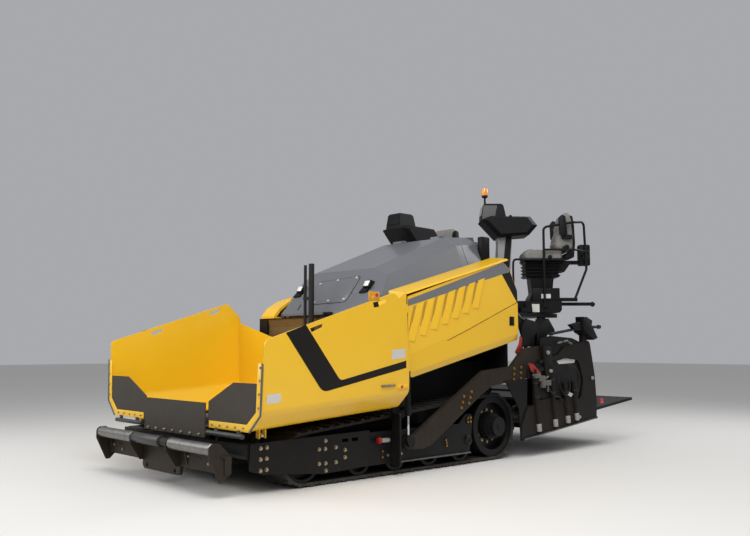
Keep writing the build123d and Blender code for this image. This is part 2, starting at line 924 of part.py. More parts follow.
def make_cylinder(eye, foot, barrel_r, rod_r, gland_share, reserve, ears):
    """Barrel and rod of a cylinder from its foot pin to its rod eye."""
    foot_v, eye_v = Vector(*foot), Vector(*eye)
    run = (eye_v - foot_v).normalized()
    length = (eye_v - foot_v).length
    gland = foot_v + run * length * gland_share
    start = foot_v + run * 52
    barrel = rod(tuple(start), tuple(gland), barrel_r)
    barrel = barrel + rod(tuple(foot_v + run * 15), tuple(start + run), 15)
    barrel = barrel + rod(tuple(foot_v + ears * -14), tuple(foot_v + ears * 14), 26)
    barrel = barrel - rod(tuple(foot_v + run * 60), tuple(gland + run), rod_r + running_gap)
    barrel = barrel - rod(tuple(foot_v + ears * -20), tuple(foot_v + ears * 20), 12 + running_gap)
    shaft = rod(tuple(foot_v + run * reserve), tuple(eye_v - run * 18), rod_r)
    head = ring(tuple(eye_v + ears * -14), tuple(eye_v + ears * 14), 26, 12)
    return barrel, shaft + head


wing_barrel, wing_rod = make_cylinder(
    (at(wing_eye_ahead), wing_cylinder_eye_y, wing_cylinder_eye_z),
    (at(wing_cylinder_ahead), wing_cylinder_foot_y, wing_cylinder_foot_z),
    wing_cylinder_r,
    wing_rod_r,
    0.85,
    75,
    wing_hinge_run,
)
add_sides("wing_barrel", wing_barrel)
add_sides("wing_rod", wing_rod)


# Push beam
def make_push_beam():
    """Beam on its centre pivot with nosed carrier plates, gussets and the lowered tow plate."""
    half = push_beam_half
    beam = block(
        (at(push_beam_rear_ahead), at(push_beam_front_ahead)),
        (-half, half),
        (push_beam_bottom_z, push_beam_top_z),
    )
    inner_y, outer_y = push_roller_inner_y, push_roller_outer_y
    nose = push_nose_r + 10
    carriers = []
    for y, foot in (
        (-outer_y - 22, push_foot_z),
        (-inner_y + 6, push_beam_bottom_z),
        (inner_y - 22, push_beam_bottom_z),
        (outer_y + 6, push_foot_z),
    ):
        plate = side_plate(
            [
                (push_beam_rear_ahead, push_beam_bottom_z),
                (push_beam_front_ahead, foot),
                (push_beam_front_ahead + 45, foot),
                (push_axis_ahead + nose, push_axis_z - 70),
                (push_axis_ahead + nose, push_axis_z + nose),
                (push_axis_ahead - nose, push_axis_z + nose),
                (push_beam_rear_ahead, push_beam_top_z),
            ],
            y,
            y + push_plate_t,
            [(4, nose - 2), (5, nose / 2), (3, 30.0), (2, 12.0)],
        )
        carriers.append(plate)
    for y in (-half + 120, -inner_y - 150, inner_y + 150, half - 120):
        carriers.append(
            side_plate(
                [
                    (push_beam_front_ahead, push_beam_bottom_z + 15),
                    (push_beam_front_ahead + 40, push_beam_top_z),
                    (push_beam_front_ahead, push_beam_top_z),
                ],
                y - push_plate_t / 2,
                y + push_plate_t / 2,
            )
        )
    lip = block(
        (at(push_beam_front_ahead), at(push_beam_front_ahead + 45)),
        (-half, half),
        (push_beam_top_z - 12, push_beam_top_z),
    )
    tube = y_cylinder(push_axis_ahead, push_axis_z, -inner_y + 10, inner_y - 10, push_tube_r)
    hook = cross_plate(
        [
            (-inner_y + 30, 130),
            (inner_y - 30, 130),
            (inner_y, 165),
            (inner_y, push_beam_bottom_z + 10),
            (-inner_y, push_beam_bottom_z + 10),
            (-inner_y, 165),
        ],
        at(push_beam_front_ahead - 40),
        at(push_beam_front_ahead),
        [(0, 20.0), (1, 20.0), (2, 20.0), (5, 20.0)],
    )
    low, high = push_beam_bottom_z + 20 + push_lug_t + clearance, push_beam_top_z - push_lug_t - clearance
    boss = rod((at(push_pivot_ahead), 0, low), (at(push_pivot_ahead), 0, high), push_boss_r)
    neck = block(
        (at(push_pivot_ahead), at(push_beam_rear_ahead)), (-push_boss_r, push_boss_r), (low, high)
    )
    bore = rod(
        (at(push_pivot_ahead), 0, push_beam_bottom_z - 10),
        (at(push_pivot_ahead), 0, push_beam_top_z + 10),
        push_pivot_r + running_gap,
    )
    for y in (-tow_eye_y, tow_eye_y):
        hook = hook - rod(
            (at(push_beam_front_ahead - 50), y, tow_eye_z),
            (at(push_beam_front_ahead + 10), y, tow_eye_z),
            tow_eye_r,
        )
    beam = joined([beam, *carriers, lip, tube, hook, boss, neck]) - bore
    for side in (1, -1):
        low, high = sorted((side * (inner_y - 12), side * (outer_y + 12)))
        beam = beam - y_cylinder(
            push_axis_ahead, push_axis_z, low, high, push_shaft_r + running_gap / 4
        )
    return beam


def make_push_roller(side):
    """Free-turning roller with rounded ends and its shaft ends in the carrier plates."""
    low, high = sorted((side * (push_roller_inner_y + 6), side * (push_roller_outer_y - 6)))
    drum = y_cylinder(push_axis_ahead, push_axis_z, low, high, push_roller_r)
    drum = chamfer(drum.edges().filter_by(GeomType.CIRCLE), clearance)
    shaft = y_cylinder(push_axis_ahead, push_axis_z, low - 16, high + 16, push_shaft_r)
    return drum + shaft


add("push_beam", make_push_beam())
add("push_roller_left", make_push_roller(1))
add("push_roller_right", make_push_roller(-1))

# Body, hood and doors
door_outline = [
    (door_front_ahead - 70, 1085),
    (door_front_ahead, 1160),
    (door_front_ahead, 2000),
    (door_front_ahead - 30, 2040),
    (-250, 2570),
    (-370, 2490),
    (door_rear_ahead + 20, 2200),
    (door_rear_ahead + 20, 2000),
    (door_rear_ahead, 1540),
]

# Place towards which the rim's inner edge is drawn in
door_middle = (500.0, 1800.0)

# Bends of the door's skin: height at the front edge, gain in height to its rear end, y
door_bends = [
    (1040.0, 470.0, door_y - 32),
    (1135.0, 500.0, door_y + 4),
    (1345.0, 676.0, door_y + 13),
    (2080.0, 640.0, door_y - 8),
]


def door_volume(inner_y, shift):
    """Space between the door's bent outer face and a flat inner plane, moved inwards."""
    sections = []
    for ahead, share in ((door_front_ahead + 20, 0.0), (door_rear_ahead - 20, 1.0)):
        outer = [(at(ahead), y - shift, z + gain * share) for z, gain, y in door_bends]
        low, high = outer[0][2], outer[-1][2]
        inner = [(at(ahead), inner_y, high), (at(ahead), inner_y, low)]
        sections.append(Face(Wire.make_polygon(outer + inner, close=True)))
    return loft(sections, ruled=True)


def make_door():
    """Left side door: bent skin on an inner frame, slanted louvres, hinge knuckles ahead."""
    inner_y = door_y - door_depth
    volume = door_volume(inner_y, 0.0)
    skin = volume - door_volume(inner_y - 10, door_skin)
    rim = []
    middle_x, middle_z = door_middle
    for share in (0.96, 0.88):
        outline = [
            (middle_x + (x - middle_x) * share, middle_z + (z - middle_z) * share)
            for x, z in door_outline
        ]
        rim.append(side_plate(outline, inner_y, door_y + 30))
    frame = (rim[0] - rim[1]) & volume
    door = (skin + frame) & side_plate(
        door_outline, inner_y - 1, door_y + 40, [(0, 60.0), (5, 80.0), (6, 60.0), (3, 20.0)]
    )
    for i in range(louvre_count):
        x = louvre_first_ahead - i * louvre_pitch
        top = door_outline[3][1] - 150 + (door_front_ahead - x) * door_top_slope
        y = door_y - 1.5
        wedge = Wire.make_polygon(
            [
                (at(x), y + 20, top),
                (at(x), y - louvre_depth, top),
                (at(x - louvre_width), y, top + louvre_width * door_top_slope),
                (at(x - louvre_width), y + 20, top + louvre_width * door_top_slope),
            ],
            close=True,
        )
        door = door - Solid.extrude(Face(wedge), Vector(louvre_lean, 6, -louvre_height))
    x, y = at(door_pin_ahead), door_pin_y
    for z in door_hinge_places:
        knuckle = rod((x, y, z), (x, y, z + door_knuckle_l), door_knuckle_r)
        arm = block((x - 22, x), (y - 14, y + 6), (z, z + door_knuckle_l))
        pin = rod((x, y, z - 5), (x, y, z + door_knuckle_l + 5), door_pin_r + running_gap)
        door = door + knuckle + arm - pin
    return door


add_sides("side_door", make_door())


def make_body_shell():
    """Fixed yellow body: front fairings and the sloping shoulders beside the hood."""
    inner_y = hood_base_y + 32
    sections = []
    for x, z in ((1606, 2062), (rear_wall_ahead + 30, 2606)):
        outline = [
            (at(x), door_y - 3, z - 4),
            (at(x), door_y + 8, z),
            (at(x), door_y - 18, z + 20),
            (at(x), inner_y + 60, z + 52),
            (at(x), inner_y, z + 58),
            (at(x), inner_y, z + 58 - shell_t),
            (at(x), door_y - 40, z - 8),
        ]
        sections.append(Face(Wire.make_polygon(outline, close=True)))
    shoulder = loft(sections, ruled=True)
    front = door_front_ahead + 35
    fairing = side_plate(
        [
            (front, 1160),
            (front + 95, 1160),
            (front + 120, 1280),
            (front + 120, box_top_z),
            (box_front_ahead, box_top_z),
            (box_front_ahead, 1862),
            (1800, 1970),
            (1665, 2052),
            (front, 2085),
        ],
        door_y - fairing_depth,
        door_y + 10,
        [(6, 60.0), (7, 60.0)],
    )
    hollow = side_plate(
        [
            (front + 30, 1150),
            (front + 75, 1150),
            (front + 92, 1290),
            (front + 92, box_top_z + 18),
            (box_front_ahead - 40, box_top_z + 18),
            (1780, 1935),
            (front + 30, 2035),
        ],
        door_y - 330,
        door_y - 18,
    )
    pieces = [shoulder, fairing - hollow]
    x, y = at(door_pin_ahead), door_pin_y
    for z in door_hinge_places:
        for z_lug in (z - 20, z + door_knuckle_l + 5):
            pieces.append(block((x - 8, at(front + 5)), (y - 18, y + 4), (z_lug, z_lug + 15)))
        pieces.append(rod((x, y, z - 15), (x, y, z + door_knuckle_l + 15), door_pin_r))
    half = joined(pieces)
    return half + mirrored(half)


def make_body_frame():
    """Black inner frame of the body: sills, rear bulkhead, cross wall and floor."""
    inside = door_y - door_depth - clearance
    sill = block((at(chassis_rear_ahead), at(1600)), (760, 800), (tunnel_roof_z, 1250))
    rear_wall = block(
        (at(rear_wall_ahead), at(rear_wall_ahead + 30)),
        (0, inside),
        (tunnel_roof_z, rear_wall_top_z),
    )
    bracket = block(
        (at(rear_wall_ahead), at(rear_wall_ahead + 30)),
        (1100, inside - 10),
        (rear_wall_top_z, 2612),
    )
    front_wall = block(
        (at(box_rear_ahead - 30), at(box_rear_ahead) - running_gap),
        (0, door_y - fairing_depth - running_gap),
        (tunnel_roof_z, box_top_z - 30),
    )
    floor = block(
        (at(1600), at(box_rear_ahead - 30)),
        (750, door_y - fairing_depth - 1),
        (tunnel_roof_z, tunnel_roof_z + 25),
    )
    half = joined([sill, rear_wall, bracket, front_wall, floor])
    return half + mirrored(half)


add("body_shell", make_body_shell())
add("body_frame", make_body_frame())

# Hood sections: ahead, half width and z of the foot, of the knee and of the ridge
hood_sections = [
    (hood_front_ahead, 950.0, 1855.0, 949.0, 1872.0, 945.0, 1890.0),
    (1500.0, 948.0, 2085.0, hood_knee_y, 2330.0, hood_ridge_y, 2430.0),
    (215.0, 940.0, 2480.0, hood_knee_y, 2790.0, hood_ridge_y, 2925.0),
    (hood_rear_ahead, 938.0, 2510.0, hood_knee_y, 2806.0, hood_ridge_y, 2936.0),
]
cowl_sections = [
    (hood_rear_ahead - clearance, 938.0, 2515.0, hood_knee_y, 2807.0, hood_ridge_y, 2937.0),
    (cowl_side_ahead, 930.0, 2620.0, hood_knee_y - 5, 2850.0, hood_ridge_y, 2970.0),
]
cowl_tail_sections = [
    (cowl_side_ahead + 1, 595.0, 2640.0, 592.0, 2880.0, hood_ridge_y - 15, 2970.0),
    (cowl_rear_ahead, 585.0, 2680.0, 582.0, 2900.0, hood_ridge_y - 30, 2993.0),
]


def between(front, rear, ahead):
    """Hood section at a place between two others."""
    share = (front[0] - ahead) / (front[0] - rear[0])
    return tuple(a + (b - a) * share for a, b in zip(front, rear))


def roof_section(section, inset, shift):
    """Cross-section of the hood, drawn in by a wall and moved ahead or back."""
    ahead, foot_y, foot_z, knee_y, knee_z, ridge_y, ridge_z = section
    low = foot_z - (30 if inset else 0)
    slope = (foot_y - knee_y) / (knee_z - foot_z)
    half = [
        (foot_y - inset + slope * (foot_z - low), low),
        (knee_y - inset, knee_z - inset * 0.3),
        (ridge_y - inset * 0.3, ridge_z - inset),
    ]
    corners = [(at(ahead) + shift, -y, z) for y, z in half]
    corners += [(at(ahead) + shift, y, z) for y, z in half[::-1]]
    return Face(Wire.make_polygon(corners, close=True))


def roof_shell(sections, front_wall, rear_wall):
    """Open-bottomed shell through several cross-sections."""
    bays = []
    for front, rear in zip(sections, sections[1:]):
        outer = loft([roof_section(front, 0, 0), roof_section(rear, 0, 0)], ruled=True)
        first = -front_wall if front is sections[0] else 0.5
        last = rear_wall if rear is sections[-1] else -0.5
        inner = loft(
            [roof_section(front, hood_wall, first), roof_section(rear, hood_wall, last)],
            ruled=True,
        )
        bays.append(outer - inner)
    return joined(bays)


hinge_spans = [(-450.0, -290.0), (290.0, 450.0)]


def make_hood():
    """Tilting engine hood, open ahead, with the barrels of its rear hinge."""
    x, z = at(hood_rear_ahead), hood_hinge_z
    first = between(hood_sections[0], hood_sections[1], hood_split_ahead)
    pieces = [roof_shell([first, *hood_sections[1:]], -1, 1)]
    for low, high in hinge_spans:
        pieces.append(rod((x, low, z), (x, high, z), hood_pin_r * 2))
        pieces.append(block((x + hood_pin_r * 1.5, x + 45), (low, high), (z - 36, z + 6)))
    bore = rod((x, -500, z), (x, 500, z), hood_pin_r + running_gap)
    return joined(pieces) - bore


def make_hood_nose():
    """Fixed lower end of the hood, which stands on the frame behind the hopper."""
    last = between(hood_sections[0], hood_sections[1], hood_split_ahead + clearance)
    nose = roof_shell([hood_sections[0], last], hood_wall, -1)
    feet = [
        block((at(box_rear_ahead + 5), at(box_rear_ahead + 45)), (low, low + 42), (box_top_z, 1900))
        for low in (-hood_base_y - 16, hood_base_y - 26)
    ]
    return joined([nose, *feet])


def make_cowl():
    """Fixed rear end of the hood with the hinge pins of the tilting part."""
    x, z = at(hood_rear_ahead), hood_hinge_z
    pieces = [roof_shell(cowl_sections, -1, -1), roof_shell(cowl_tail_sections, -1, hood_wall)]
    leg = (at(rear_wall_ahead), at(rear_wall_ahead + 30))
    for y in (-460, 400):
        pieces.append(block(leg, (y, y + 60), (rear_wall_top_z, 2960)))
    for low, high in hinge_spans:
        pieces.append(rod((x, low - 20, z), (x, high + 20, z), hood_pin_r))
        for y in (low - 20, high + 8):
            pieces.append(block((x - 50, x + 12), (y, y + 12), (z - 13, z + 14)))
            pieces.append(block((x - 50, x - 10), (y, y + 12), (z - 30, z)))
    return joined(pieces)


add("engine_hood", make_hood())
add("hood_nose", make_hood_nose())
add("rear_cowl", make_cowl())
add("engine_block", block((at(100), at(1350)), (-420, 420), (tunnel_roof_z, 1830)))


def make_stacks():
    """Exhaust stack with an open top, a thinner pipe beside it, their clamp and foot brackets."""
    x, foot_z = at(stack_ahead), tunnel_roof_z + 60
    panel_x = at(tunnel_front_ahead + box_plate_t)
    stack = ring((x, stack_y, foot_z), (x, stack_y, stack_top_z), stack_r, stack_r - 4)
    plug = rod((x, stack_y, foot_z), (x, stack_y, foot_z + 40), stack_r)
    pipe = rod((x, pipe_y, foot_z), (x, pipe_y, stack_top_z - 10), pipe_r)
    clamp = block(
        (x - 12, x + 12),
        (pipe_y - pipe_r - 8, stack_y + stack_r + 8),
        (stack_clamp_z, stack_clamp_z + 40),
    )
    hole = rod((x, stack_y, stack_clamp_z - 10), (x, stack_y, stack_clamp_z + 50), stack_r - 2)
    brackets = [
        block((panel_x, x), (y - 15, y + 15), (foot_z, foot_z + 40)) for y in (stack_y, pipe_y)
    ]
    return joined([stack, plug, pipe, clamp - hole, *brackets])


add("exhaust_stacks", make_stacks())


# Deck
def make_deck():
    """Operator deck on brackets behind the engine bay, with rear steps and a post."""
    deck = block(
        (at(deck_rear_ahead), at(door_rear_ahead - 15)),
        (-deck_half, deck_half),
        (deck_top_z - deck_t, deck_top_z),
    )
    inner = block(
        (at(door_rear_ahead - 20), at(rear_wall_ahead)),
        (-1190, 1190),
        (deck_top_z - deck_t, deck_top_z),
    )
    pieces = [deck, inner]
    for y in (-700, 0, 700):
        bracket = side_plate(
            [
                (chassis_rear_ahead, 1300),
                (chassis_rear_ahead, deck_top_z - deck_t),
                (deck_rear_ahead + 100, deck_top_z - deck_t),
                (deck_rear_ahead + 100, deck_top_z - deck_t - 90),
            ],
            y - 15,
            y + 15,
        )
        pieces.append(bracket)
    for y in (-250, 250):
        pieces.append(
            block(
                (at(deck_rear_ahead), at(deck_rear_ahead + 60)),
                (y - 12, y + 12),
                (1330, deck_top_z - deck_t),
            )
        )
    for z in (1340, 1600):
        pieces.append(
            block((at(deck_rear_ahead - 40), at(deck_rear_ahead + 180)), (-262, 262), (z, z + 30))
        )
    post = block((at(-620), at(-500)), (370, 490), (deck_top_z, 2940))
    pieces.append(post)
    for side in (1, -1):
        pieces.append(
            rod(
                (at(station_pivot_ahead), side * station_pivot_y, deck_top_z - deck_t),
                (at(station_pivot_ahead), side * station_pivot_y, deck_top_z + 150),
                station_pin_r,
            )
        )
        pieces.append(
            block(
                (at(lift_ahead) - 40, at(lift_ahead) + 40),
                (side * lift_y - 45, side * lift_y - 30),
                (lift_top_z - 40, deck_top_z - deck_t),
            )
        )
        pieces.append(
            block(
                (at(lift_ahead) - 40, at(lift_ahead) + 40),
                (side * lift_y + 30, side * lift_y + 45),
                (lift_top_z - 40, deck_top_z - deck_t),
            )
        )
        pieces.append(
            rod(
                (at(lift_ahead), side * lift_y - 45, lift_top_z),
                (at(lift_ahead), side * lift_y + 45, lift_top_z),
                12,
            )
        )
    return joined(pieces)


add("deck", make_deck())


# Operator stations, drawn stowed with the pivot at the origin, x ahead, y outwards
def tapered(sections):
    """Solid through level rectangles given as (x from, x to, y from, y to, z)."""
    faces = []
    for x0, x1, y0, y1, z in sections:
        corners = [(x0, y0, z), (x1, y0, z), (x1, y1, z), (x0, y1, z)]
        faces.append(Face(Wire.make_polygon(corners, close=True)))
    return loft(faces, ruled=True)


def shelled_profile(profile, middle, halves):
    """Solid through upright outlines of (x, z) that shrink towards both sides."""
    centre_x = sum(x for x, _ in profile) / len(profile)
    centre_z = sum(z for _, z in profile) / len(profile)
    faces = []
    for y, share in halves:
        corners = [
            (centre_x + (x - centre_x) * share, middle + y, centre_z + (z - centre_z) * share)
            for x, z in profile
        ]
        faces.append(Face(Wire.make_polygon(corners, close=True)))
    return loft(faces, ruled=True)


def make_station():
    """Platform, seat and console of one station as a dict of shapes."""
    cx, cy = console_forward, -console_inward
    z0 = deck_top_z + clearance
    platform = tapered(
        [
            (cx - 690, cx + 160, cy - 215, cy + 235, z0),
            (cx - 714, cx + 180, cy - 230, cy + 250, z0 + 40),
            (cx - 714, cx + 180, cy - 230, cy + 250, platform_top_z),
        ]
    )
    platform = platform + block((-70, 90), (cy + 200, 60), (z0, z0 + 60))
    platform = platform - rod((0, 0, z0 - 5), (0, 0, 2300), station_pin_r + running_gap)
    beam = block((cx - 1205, cx - 700), (cy - 30, cy + 30), (platform_top_z - 55, platform_top_z - 10))
    knob = Pos(cx - 1205, cy, platform_top_z - 35) * Sphere(36)
    pedestal = tapered(
        [
            (cx - 650, cx - 280, cy - 160, cy + 160, platform_top_z),
            (cx - 650, cx - 280, cy - 160, cy + 160, platform_top_z + 40),
            (cx - 610, cx - 320, cy - 130, cy + 130, platform_top_z + 110),
            (cx - 630, cx - 300, cy - 145, cy + 145, bellows_z),
        ]
    )
    rib = (seat_z - bellows_z) / bellows_ribs
    folds = []
    for i in range(bellows_ribs * 2 + 1):
        out = 0 if i % 2 else -28
        folds.append(
            (cx - 720 - out, cx - 220 + out, cy - 190 - out, cy + 190 + out, bellows_z + i * rib / 2)
        )
    seat_base = joined([platform, beam, knob, pedestal, tapered(folds)])
    cushion = block((cx - 757, cx - 200), (cy - 250, cy + 250), (seat_z + running_gap, seat_z + 160))
    cushion = fillet(cushion.edges().group_by(Axis.Z)[-1] + cushion.edges().filter_by(Axis.Z), 45)
    back = shelled_profile(
        [(-790, 2740), (-690, 2830), (-755, 3180), (-795, 3350), (-865, 3350), (-900, 3180), (-905, 2780)],
        cy,
        [(-230, 0.86), (-180, 1.0), (180, 1.0), (230, 0.86)],
    )
    seat = cushion + Pos(cx, 0, 0) * back
    tray = shelled_profile(
        [(386, 3235), (250, 3285), (-300, 3275), (-400, 3150), (-286, 3020), (157, 2985)],
        cy,
        [(-tray_half, 0.8), (70 - tray_half, 1.0), (tray_half - 70, 1.0), (tray_half, 0.8)],
    )
    display = tapered(
        [
            (20, 376, cy - 150, cy + 150, 3236),
            (30, 372, cy - 146, cy + 146, 3300),
            (60, 352, cy - 130, cy + 130, 3450),
            (85, 330, cy - 112, cy + 112, 3478),
        ]
    )
    console = Pos(cx, 0, 0) * (tray + display)
    post = tapered(
        [
            (-10, 195, cy - 140, cy + 140, platform_top_z),
            (-15, 175, cy - 130, cy + 130, 2300),
            (-50, 140, cy - 120, cy + 120, 2900),
            (-60, 150, cy - 120, cy + 120, 3060),
        ]
    )
    post = Pos(cx, 0, 0) * post - console
    rail_y_off = cy + 280
    rear_y_off = cy + 120
    line = FilletPolyline(
        (cx - 470, rail_y_off, 2040),
        (cx - 470, rail_y_off, 3115),
        (cx - 895, rail_y_off, 3185),
        (cx - 1075, rear_y_off, 3212),
        (cx - 1100, rear_y_off, 2540),
        (cx - 930, rear_y_off, 2120),
        radius=60,
    )
    rail = sweep(Plane(origin=line @ 0, z_dir=line % 0) * Circle(17), path=line)
    mid = rod((cx - 470, rail_y_off, 2800), (cx - 903, rail_y_off, 2800), 15)
    mid = mid + rod((cx - 898, rail_y_off, 2800), (cx - 1088, rear_y_off, 2792), 15)
    feet = [
        block((cx - 500, cx - 440), (cy + 240, rail_y_off + 20), (2000, 2050)),
        block((cx - 960, cx - 690), (rear_y_off - 20, rear_y_off + 20), (platform_top_z, 2135)),
    ]
    rail = joined([rail, mid, *feet]) - platform
    return {
        "station": seat_base,
        "seat": seat,
        "console": console,
        "console_post": post,
        "guard_rail": rail,
    }


def make_mast():
    """Beacon's mast and lamp on the left console's display hood."""
    x, y = console_forward + beacon_forward, -console_inward
    return rod((x, y, 3440), (x, y, 3590), 14) + rod((x, y, 3585), (x, y, 3715), 42)


pivot_left = Pos(at(station_pivot_ahead), station_pivot_y, 0)
pivot_axis = Axis((at(station_pivot_ahead), station_pivot_y, 0), (0, 0, 1))
for name, shape in make_station().items():
    placed = pivot_left * shape
    swung = shape + make_mast() if name == "console" else shape
    add(name + "_left", (pivot_left * swung).rotate(pivot_axis, -station_swing))
    add(name + "_right", mirrored(placed))


# Tow points
def make_tow_tower():
    """Guide post and fixed barrel of one tow point."""
    plate_y = rail_y + rail_t
    post_y = plate_y + tow_post_gap
    plate = side_plate(
        [
            (tow_barrel_ahead - 45, 660),
            (tow_barrel_ahead - 45, tow_barrel_top_z - 40),
            (tow_barrel_ahead + 60, tow_barrel_top_z - 40),
            (tow_ahead + 215, 820),
            (tow_ahead + 215, 112),
            (tow_ahead + tow_foot_offset, 112),
            (tow_ahead + 120, 620),
        ],
        post_y,
        post_y + 12,
        [(0, 15.0), (1, 15.0), (2, 25.0), (3, 40.0)],
    )
    foot = block(
        (at(tow_ahead + 120), at(tow_ahead + 215)),
        (plate_y, post_y + 1),
        (200, 500),
    )
    fin = block((at(tow_ahead + 190), at(tow_ahead + 215)), (post_y, 1415), (112, 700))
    fin = chamfer(fin.edges().filter_by(Axis.X).group_by(Axis.Y)[-1], 12)
    x = at(tow_barrel_ahead)
    barrel = rod((x, tow_barrel_y, tow_barrel_bottom_z), (x, tow_barrel_y, tow_barrel_top_z), tow_barrel_r)
    gland = rod(
        (x, tow_barrel_y, tow_barrel_bottom_z),
        (x, tow_barrel_y, tow_barrel_bottom_z + 45),
        tow_barrel_r + 7,
    )
    bore = rod(
        (x, tow_barrel_y, tow_barrel_bottom_z - 1),
        (x, tow_barrel_y, tow_barrel_top_z - 40),
        tow_rod_r + running_gap,
    )
    clamps = [
        block((x - 45, x + 45), (post_y + 5, tow_barrel_y), (z, z + 40))
        for z in (tow_barrel_bottom_z + 60, tow_barrel_top_z - 100)
    ]
    return joined([plate, foot, fin, *clamps, barrel, gland]) - bore


add_both("tow_towers", make_tow_tower())


def make_tow_slide():
    """Rod, clevis and pin that carry one tow arm."""
    x = at(tow_barrel_ahead)
    shaft = rod((x, tow_barrel_y, tow_z + 60), (x, tow_barrel_y, 950), tow_rod_r)
    head = side_plate(
        [
            (tow_ahead - 45, tow_z - 45),
            (tow_ahead + 45, tow_z - 45),
            (tow_barrel_ahead + 40, tow_z + 40),
            (tow_barrel_ahead + 28, tow_z + 85),
            (tow_barrel_ahead - 28, tow_z + 85),
            (tow_ahead - 45, tow_z + 40),
        ],
        tow_arm_y + tow_arm_t + 6,
        tow_barrel_y + 24,
        [(0, 30.0), (1, 30.0)],
    )
    pin = rod((at(tow_ahead), tow_arm_y - 5, tow_z), (at(tow_ahead), tow_barrel_y, tow_z), tow_pin_r)
    return joined([shaft, head, pin])


add_both("tow_slides", make_tow_slide())


def lifted(shape):
    """Screed piece turned from its working place to the raised one it parks in."""
    return shape.rotate(Axis((at(tow_ahead), 0, tow_z), (0, 1, 0)), screed_lift)


arm_outline = [
    (tow_ahead + 62, 290),
    (tow_ahead + 62, 425),
    (1560, 432),
    (237, 999),
    (-338, 986),
    (-640, 1190),
    (-1000, 1190),
    (-1150, 1000),
    (-1560, 1000),
    (-1560, 800),
    (-377, 790),
    (102, 790),
    (330, 705),
    (1300, 262),
    (1440, 246),
]


def make_tow_arm():
    """Long cranked plate from the tow pin to the screed."""
    arm = side_plate(
        arm_outline,
        tow_arm_y,
        tow_arm_y + tow_arm_t,
        [(0, 50.0), (1, 60.0), (3, 120.0), (4, 60.0), (5, 80.0), (6, 60.0), (11, 90.0), (13, 90.0)],
    )
    bore = rod(
        (at(tow_ahead), tow_arm_y - 5, tow_z),
        (at(tow_ahead), tow_arm_y + tow_arm_t + 5, tow_z),
        tow_pin_r + running_gap,
    )
    return arm - bore


add_both("tow_arms", lifted(make_tow_arm()))


def make_screed():
    """Main screed: sole, box frame, uprights to the arms, guide rail and lift lugs."""
    sole = block(
        (at(screed_rear_ahead), at(screed_front_ahead)),
        (-screed_half, screed_half),
        (sole_z, sole_z + 40),
    )
    front = side_plate(
        [
            (screed_front_ahead, sole_z),
            (screed_front_ahead + 40, sole_z + 90),
            (screed_front_ahead + 40, 420),
            (screed_front_ahead - 10, 420),
            (screed_front_ahead - 10, sole_z + 40),
        ],
        -screed_half,
        screed_half,
    )
    box_frame = block(
        (at(screed_rear_ahead), at(screed_front_ahead - 10)),
        (-screed_half, screed_half),
        (sole_z + 40, 420),
    )
    inside = block(
        (at(screed_rear_ahead + 25), at(screed_front_ahead - 35)),
        (-screed_half + 25, screed_half - 25),
        (sole_z + 60, 430),
    )
    top = block(
        (at(screed_rear_ahead), at(screed_front_ahead - 10)),
        (-screed_half, screed_half),
        (420, 440),
    )
    pieces = [sole, front, box_frame - inside, top]
    for side in (1, -1):
        low, high = sorted((side * (screed_half - 25), side * tow_arm_y))
        pieces.append(block((at(-1540), at(-1300)), (low, high), (300, 980)))
        for offset in (-45, 30):
            pieces.append(
                block(
                    (at(lift_ahead) - 45, at(lift_ahead) + 45),
                    (side * lift_y + offset, side * lift_y + offset + 15),
                    (430, lift_eye_z + 40),
                )
            )
    rail = block(
        (at(extension_front_ahead) + running_gap, at(screed_rear_ahead)),
        (-screed_half, screed_half),
        (250, 330),
    )
    pieces.append(rail)
    return joined(pieces)


add("screed", lifted(make_screed()))


def make_extension():
    """Left half of the rear screed pair, with its end bulkhead and its own footboard."""
    shell = block(
        (at(extension_rear_ahead), at(extension_front_ahead)),
        (clearance / 2, extension_outer_y),
        (sole_z, 460),
    )
    shell = chamfer(shell.edges().filter_by(Axis.Y).group_by(Axis.Z)[-1], 25)
    inside = block(
        (at(extension_rear_ahead + 25), at(extension_front_ahead - 25)),
        (clearance / 2 + 25, extension_outer_y - 25),
        (sole_z + 40, 435),
    )
    bulkhead = side_plate(
        [
            (extension_rear_ahead + 10, 450),
            (extension_rear_ahead + 10, 900),
            (extension_rear_ahead + 90, 980),
            (extension_front_ahead - 180, 980),
            (extension_front_ahead - 60, 700),
            (extension_front_ahead - 60, 450),
        ],
        extension_outer_y - gate_t,
        extension_outer_y,
        [(1, 40.0), (2, 40.0), (3, 60.0), (4, 60.0)],
    )
    brace = side_plate(
        [
            (extension_rear_ahead + 120, 450),
            (extension_rear_ahead + 200, 800),
            (extension_rear_ahead + 240, 800),
            (extension_rear_ahead + 320, 450),
        ],
        extension_outer_y - 220,
        extension_outer_y - gate_t + 1,
    )
    brackets = [
        side_plate(
            [
                (extension_rear_ahead, board_z - 60),
                (extension_rear_ahead, board_z + 90),
                (extension_rear_ahead - 70, board_z + board_t),
                (extension_rear_ahead - 400, board_z),
                (extension_rear_ahead - 200, board_z - 60),
            ],
            y,
            y + 14,
        )
        for y in (120, 640, 1150)
    ]
    board = block(
        (at(board_rear_ahead), at(extension_rear_ahead - 60)),
        (clearance / 2, extension_outer_y),
        (board_z, board_z + board_t),
    )
    return joined([shell - inside, bulkhead, brace, *brackets, board])


gate_outline = [
    (gate_front_ahead, sole_z),
    (gate_rear_ahead, sole_z),
    (gate_rear_ahead - 35, 240),
    (gate_rear_ahead - 40, 640),
    (gate_rear_ahead + 25, gate_top_z),
    (-1500, gate_top_z - 20),
    (-1330, gate_top_z - 120),
    (-900, gate_top_z - 150),
    (-900, 960),
    (-1500, 960),
    (-1830, 900),
    (-1900, 600),
    (-1800, 330),
    (-1560, 420),
    (-560, 420),
    (gate_front_ahead - 40, 200),
]


